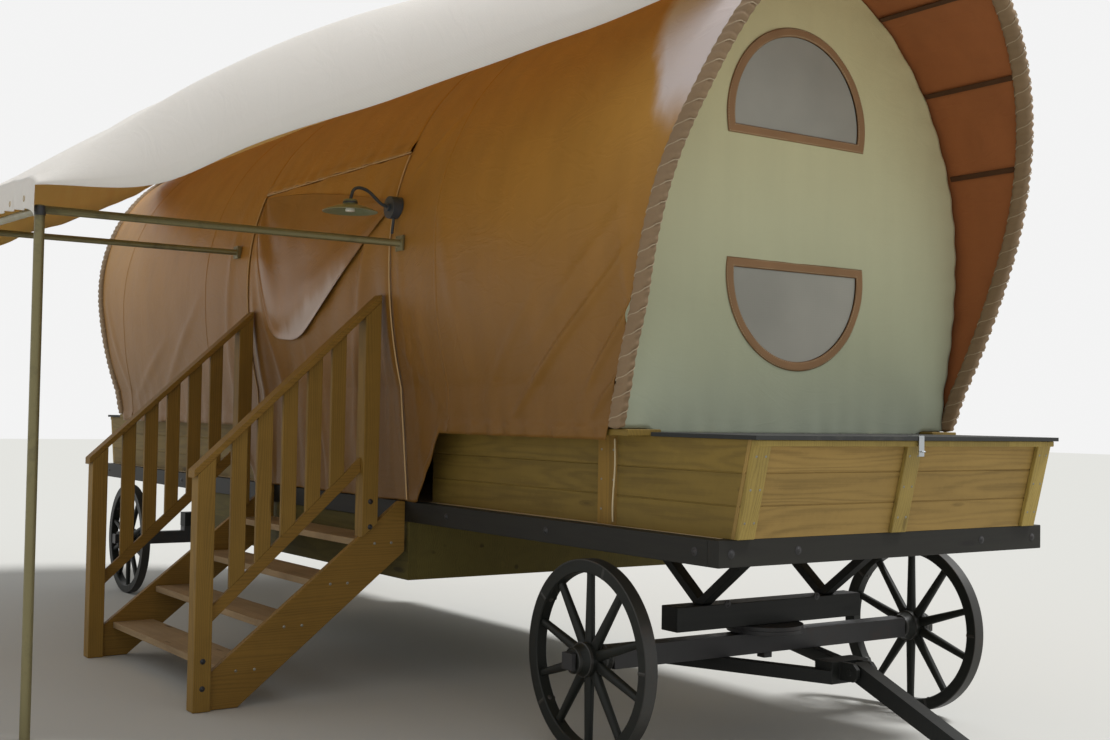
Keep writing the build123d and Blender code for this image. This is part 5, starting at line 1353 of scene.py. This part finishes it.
class WAGON_OT_wheels(bpy.types.Operator):
    """Spoked wheels: turned hub with iron bands, tapered spokes, jointed felloes and an iron tyre"""

    bl_idname = "wagon.wheels"
    bl_label = "Wheels"

    def execute(self, context):
        iron = context.scene.wagon_iron
        rim = iron.wheel_radius
        # the felloes are 55 mm deep, from their inner radius out to the tyre's inner face
        inner, wood = rim - 0.062, rim - 0.0065
        felloe = [(inner, 0.026), (inner + 0.005, 0.031), (wood, 0.031)]
        tyre = [(wood, 0.0325), (rim - 0.0015, 0.0325), (rim, 0.031)]
        hub = [
            (0.0305, 0.1), (0.052, 0.1), (0.056, 0.096), (0.058, 0.088),
            (0.063, 0.07), (0.072, 0.052), (0.078, 0.044),
        ]
        parts = [
            turned(mirrored(felloe), 160, axis=1, close=True),
            turned(mirrored(tyre), 160, axis=1, close=True, finish_number=1),
            turned(mirrored(hub), 64, axis=1, close=True),
        ]
        # iron bands at both ends of the hub and on both sides of the spokes
        for band in (
            [(0.0565, 0.099), (0.0595, 0.097), (0.0605, 0.084), (0.058, 0.082)],
            [(0.074, 0.050), (0.0795, 0.048), (0.0795, 0.036), (0.077, 0.034)],
        ):
            for side in (-1, 1):
                parts.append(turned(np.array(band) * (1, side), 64, axis=1, close=True, finish_number=1))
        # spoke: an oval that narrows to the rim and swells at its foot, carried along Z
        foot = 0.070
        r = np.linspace(foot, inner + 0.006, 22)[:, None]
        share = (r - foot) / (inner - foot)
        half = 0.025 - 0.008 * share + 0.004 * np.exp(-share / 0.06) + 0.002 * np.exp(-(1 - share) / 0.05)
        deep = 0.020 - 0.003 * share
        wide, thick = squared(round_about(16)[None, :], 0.75)
        spoke = np.stack([half * wide, deep * thick, r + 0 * wide], -1)
        spoke = grid(spoke, close=(False, True), flip=True)
        steps = 2 * np.pi * np.arange(iron.spokes) / iron.spokes
        spin = [np.array(Matrix.Rotation(step, 3, "Y")) for step in steps]
        parts.append(copies(spoke, np.zeros((iron.spokes, 3)), spin))
        # joints between felloes: thin iron clips on the faces, and tyre bolts inside
        across = np.linspace(-0.008, 0.008, 4)[:, None]
        out = np.linspace(inner + 0.003, wood - 0.002, 6)[None, :]
        lift = 0.0315 + 0.0015 * (1 - (across / 0.008) ** 4)
        clip = grid(np.stack([across + 0 * out, lift + 0 * out, out + 0 * across], -1), finish_number=1)
        joints = [np.array(Matrix.Rotation(step + np.pi / iron.spokes, 3, "Y")) for step in steps[::2]]
        flips = [turn @ np.diag([-1.0, -1.0, 1.0]) for turn in joints]
        parts.append(copies(clip, np.zeros((2 * len(joints), 3)), joints + flips))
        nut = studs([(0, 0, 0)], (0, 0, -1), 0.009, 1)
        nut = (nut[0] + (0, 0, inner), *nut[1:])
        parts.append(copies(nut, np.zeros((len(joints), 3)), joints))
        paint = timber("wheel_paint", tuple(iron.wheel), linear("#141012"), rough=0.48, soil=0.15)
        tyre_iron = painted("iron_tyre", linear("#24231f"), 0.42, 0.0, "#40332a", 0.4)
        for name in ("front_right", "front_left", "rear_right", "rear_left"):
            wheel, body = "wheel_" + name, name + "_wheel"
            low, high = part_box(wheel)
            middle = np.array((low + high) / 2) - ORIGIN
            placed = [(part[0] + middle, *part[1:]) for part in parts]
            looks = [paint, tyre_iron]
            make(wheel + "_dressed", body, placed, looks, [wheel], smooth=35, outward=True)
        return {"FINISHED"}


class WAGON_OT_rails(bpy.types.Operator):
    """Rails, posts and hoops that hold the cloth, with the posts' caps and the rails' flange bolts"""

    bl_idname = "wagon.rails"
    bl_label = "Fly rails and posts"

    def execute(self, context):
        iron = context.scene.wagon_iron
        steel = painted("galvanised_tube", tuple(iron.tube), 0.42, 0.35, "#4e4838", 0.6)
        eased("fly_rails", steel, 0.0)
        eased("fly_posts", steel, 0.003)
        eased("hoops", steel, 0.0)
        # four bolts in each flange on the cover's side
        points = np.array([v.co for v in frame["nodes"]["fly_rails"].data.vertices]) - ORIGIN
        flange = []
        for x in RAIL_X:
            z = points[np.abs(points[:, 0] - x) < 0.06, 2]
            middle = (z.min() + z.max()) / 2
            starts = [(x + across, -1.7, middle + up) for across in (-0.031, 0.031) for up in (-0.031, 0.031)]
            flange += bolts("fly_rails", starts, (0, 1, 0), 0.0055)
        make("flange_bolts", "wagon", flange, [steel])
        cap = [(0.0, 0.014), (0.018, 0.012), (0.0265, 0.006)]
        cap += [(0.028, -0.004), (0.028, -0.035), (0.0255, -0.037)]
        caps = [turned(cap, 32, head) for head in post_heads()]
        black = painted("black_plastic_cap", linear("#25262a"), 0.5, 0.0, "#4a4a4a", 0.3)
        make("post_caps", "wagon", caps, [black], smooth=50, outward=True)
        return {"FINISHED"}


def post_heads():
    """Top middle of each fly post, in the wagon's axes, from the posts' own points."""
    points = np.array([v.co for v in frame["nodes"]["fly_posts"].data.vertices]) - ORIGIN
    split = points[:, 0].mean()
    heads = []
    for post in (points[points[:, 0] > split], points[points[:, 0] < split]):
        low, high = post.min(0), post.max(0)
        heads.append(((low[0] + high[0]) / 2, (low[1] + high[1]) / 2, high[2] - 0.012))
    return heads


class WAGON_OT_lockers(bpy.types.Operator):
    """Felted lids with their hinge pins, and the hasps with their staples"""

    bl_idname = "wagon.lockers"
    bl_label = "Lockers"

    def execute(self, context):
        wood = context.scene.wagon_timber
        felt = painted("felted_plywood_lid", tuple(wood.lid), 0.85, 0.0, "#5a5850", 0.5, 0.006)
        zinc = painted("zinc_plate", linear("#b4b8ba"), 0.34, 1.0, "#7d7f80", 0.4)
        fittings = []
        joints = {joint["name"]: joint for joint in frame["record"]["behaviour"]["joints"]}
        for end, ahead in (("front", 1), ("rear", -1)):
            eased(end + "_locker_lid", felt, 0.003)
            eased(end + "_hasp", zinc, 0.001)
            # a pin with a head at both ends of each hinge
            hinge = np.array(joints[end + "_lid_open"]["pos_m"]) - ORIGIN
            pin = [(0.0, 0.0485), (0.0055, 0.047), (0.0055, 0.0455), (0.003, 0.0452)]
            for y in (-HINGE_Y, HINGE_Y):
                fittings.append(turned(mirrored(pin), 16, hinge + (0, y, 0), axis=1))
            # a staple of round bar through the hasp, near its foot
            low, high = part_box(end + "_hasp")
            x = (high.x if ahead > 0 else low.x) - FRONT_X
            y, z = (low.y + high.y) / 2 - CENTRE_Y, low.z + 0.022
            bow = [(-0.012, -0.009), (0.016, -0.009), (0.016, 0.009), (-0.012, 0.009)]
            bow = [(x + ahead * out, y + across, z) for out, across in bow]
            fittings.append(tube(rounded(bow, 6, 0.45), 0.003, 10, (0, 0, 1)))
        make("lid_fittings", "wagon", fittings, [zinc], smooth=50, outward=True)
        return {"FINISHED"}


class WAGON_OT_lamp(bpy.types.Operator):
    """Wall lamp: dark round base, swan neck tube and an open enamelled shade with its bulb"""

    bl_idname = "wagon.lamp"
    bl_label = "Wall lamp"

    def execute(self, context):
        iron = context.scene.wagon_iron
        dark = painted("slate_painted_iron", tuple(iron.lamp), 0.38, 0.0, "#5a5a58", 0.25)
        enamel = painted("grey_green_enamel", tuple(iron.enamel), 0.3, 0.0, "#4c5040", 0.35)
        glass = painted("opal_glass_bulb", linear("#e9e6da"), 0.2, 0.0, "#d8d4c4", 0.1)
        eased("lamp_base", dark, 0.004)
        low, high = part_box("lamp_shade")
        x = (low.x + high.x) / 2 - FRONT_X
        y = (low.y + high.y) / 2 - CENTRE_Y
        top = high.z
        low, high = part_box("lamp_base")
        start, base_z = low.y - CENTRE_Y, (low.z + high.z) / 2
        # swan neck as (y, z): out of the base, up, and down into the shade
        neck = [
            (start + 0.01, base_z), (start - 0.05, base_z + 0.01), (start - 0.13, base_z + 0.085),
            (y + 0.02, base_z + 0.092), (y, top - 0.002),
        ]
        arm = tube(rounded([(x, *point) for point in neck], 14, 0.5), 0.009, 20, (1, 0, 0))
        nut = [(0.0, 0.0), (0.02, 0.0), (0.022, -0.004), (0.02, -0.016), (0.0, -0.02)]
        nut = turned(nut, 24, (x, start + 0.004, base_z), axis=1)
        # stay from the base down to the rail's flange, on the cover's skin
        section = Section(context.scene.wagon_cover)
        stay = section.down_to(np.linspace(base_z - 0.01, base_z - 0.15, 24))
        stay = tube(skin_points(section, np.full(24, x + 0.012), stay, 0.034), 0.008, 12, (1, 0, 0))
        parts = [arm, nut, stay]
        make("lamp_neck", "wagon", parts, [dark], ["lamp_arm"], outward=True)
        # shade: a cap, a short neck and a shallow cone with a rolled rim, outside then inside
        shell = [
            (0.0, 0.0), (0.030, 0.0), (0.036, -0.004), (0.038, -0.010), (0.038, -0.026), (0.046, -0.030),
            (0.085, -0.040), (0.125, -0.054), (0.146, -0.064), (0.150, -0.0665), (0.1495, -0.069),
            (0.146, -0.068), (0.122, -0.0575), (0.083, -0.0435), (0.044, -0.0335), (0.035, -0.029),
            (0.034, -0.012), (0.0, -0.008),
        ]
        bulb = [
            (0.0, -0.028), (0.013, -0.028), (0.014, -0.04), (0.022, -0.048),
            (0.0265, -0.058), (0.024, -0.066), (0.014, -0.0685), (0.0, -0.069),
        ]
        ring = [(0.0385, -0.012), (0.0405, -0.013), (0.0405, -0.021), (0.0385, -0.022)]
        parts = [
            turned(shell, 72, (x, y, top)),
            turned(bulb, 32, (x, y, top), finish_number=1),
            turned(ring, 48, (x, y, top), close=True, finish_number=2),
        ]
        looks, node = [enamel, glass, dark], ["lamp_shade"]
        make("lamp_shade_dressed", "wagon", parts, looks, node, smooth=45, outward=True)
        return {"FINISHED"}


# camera: its place from the middle of the front sill, in metres, and its yaw, pitch and roll, in degrees
CAMERA_PLACE = (4.29, -4.83, 1.558)
CAMERA_TURN = (34.58, 1.84, 0.97)
SUN_WAY = (-0.33, -0.45, -1.0)


class WAGON_OT_stage(bpy.types.Operator):
    """Pale floor, plain soft light and the camera"""

    bl_idname = "wagon.stage"
    bl_label = "Stage"

    def execute(self, context):
        scene, stage = context.scene, context.scene.wagon_stage
        scene.view_settings.view_transform = "Standard"

        def pale(tree):
            """Matt painted floor, a plain even tone."""
            return add(tree, "BsdfDiffuse", {0: tuple(stage.floor)})[0]

        across = np.linspace(-60, 60, 9)
        ground = np.stack(np.meshgrid(across, across, indexing="xy") + [np.full((9, 9), -0.002)], -1)
        points, faces, _, _ = grid(ground)
        mesh = bpy.data.meshes.new("floor")
        mesh.from_pydata(points.tolist(), [], faces.tolist())
        floor = bpy.data.objects.new("floor", mesh)
        mesh.materials.append(finish("matt_floor", pale))
        scene.collection.objects.link(floor)
        world = bpy.data.worlds.new("studio")
        scene.world = world
        world.use_nodes = True
        tree = world.node_tree
        tree.nodes.clear()
        ray = add(tree, "LightPath")
        seen = add(tree, "Math", {0: ray["Is Camera Ray"], 1: ray["Is Glossy Ray"]}, operation="MAXIMUM")[0]
        seen = add(tree, "Math", {0: seen, 1: ray["Is Transmission Ray"]}, operation="MAXIMUM")[0]
        strength = add(tree, "MapRange", {0: seen, 3: stage.sky, 4: 0.9})[0]
        light = add(tree, "Background", {0: (1.0, 1.0, 1.0, 1.0), 1: strength})[0]
        add(tree, "OutputWorld", {0: light})
        sun = bpy.data.lights.new("key_lamp", "SUN")
        sun.energy, sun.angle = stage.key, np.radians(14)
        lamp = bpy.data.objects.new("key_lamp", sun)
        lamp.rotation_mode = "QUATERNION"
        lamp.rotation_quaternion = Vector(SUN_WAY).to_track_quat("-Z", "Y")
        scene.collection.objects.link(lamp)
        data = bpy.data.cameras.new("camera")
        data.lens, data.sensor_width = stage.focal, 36.0
        data.clip_end = 400.0
        camera = bpy.data.objects.new("camera", data)
        yaw, pitch, roll = np.radians(CAMERA_TURN)
        ahead = Vector((-np.cos(yaw) * np.cos(pitch), np.sin(yaw) * np.cos(pitch), np.sin(pitch)))
        side = ahead.cross(Vector((0, 0, 1))).normalized()
        up = side.cross(ahead)
        right = side * np.cos(roll) + up * np.sin(roll)
        over = up * np.cos(roll) - side * np.sin(roll)
        turn = Matrix((right, over, -ahead)).transposed()
        camera.matrix_world = Matrix.Translation(Vector(ORIGIN + CAMERA_PLACE)) @ turn.to_4x4()
        scene.collection.objects.link(camera)
        scene.camera = camera
        return {"FINISHED"}


class WAGON_PT_panel(bpy.types.Panel):
    """Lists the pieces and the sizes and colours that shape them"""

    bl_idname = "WAGON_PT_panel"
    bl_label = "Covered wagon"
    bl_space_type = "VIEW_3D"
    bl_region_type = "UI"
    bl_category = "Wagon"

    def draw(self, context):
        column = self.layout.column()
        for operator in OPERATORS:
            column.operator(operator.bl_idname)
        for name, group in SETTINGS.items():
            box = self.layout.box()
            box.label(text=group.__doc__)
            for setting in group.__annotations__:
                box.prop(getattr(context.scene, name), setting)


OPERATORS = (
    WAGON_OT_stage,
    WAGON_OT_cover,
    WAGON_OT_hems,
    WAGON_OT_end_walls,
    WAGON_OT_door,
    WAGON_OT_fly_sheet,
    WAGON_OT_timber,
    WAGON_OT_bolts,
    WAGON_OT_running_gear,
    WAGON_OT_wheels,
    WAGON_OT_rails,
    WAGON_OT_lockers,
    WAGON_OT_lamp,
)
SETTINGS = {
    "wagon_cover": CoverSettings,
    "wagon_fly": FlySettings,
    "wagon_timber": TimberSettings,
    "wagon_iron": IronSettings,
    "wagon_stage": StageSettings,
}


def register():
    """Makes the settings, the operators and the panel known."""
    for one in (*SETTINGS.values(), *OPERATORS, WAGON_PT_panel):
        bpy.utils.register_class(one)
    for name, group in SETTINGS.items():
        setattr(bpy.types.Scene, name, bpy.props.PointerProperty(type=group))


def unregister():
    """Takes them away again."""
    for name in SETTINGS:
        delattr(bpy.types.Scene, name)
    for one in reversed((*SETTINGS.values(), *OPERATORS, WAGON_PT_panel)):
        bpy.utils.unregister_class(one)


def main():
    """Builds every piece in order."""
    register()
    for operator in OPERATORS:
        getattr(bpy.ops.wagon, operator.bl_idname.split(".")[1])()
    bpy.context.view_layer.update()


if __name__ == "__main__":
    main()
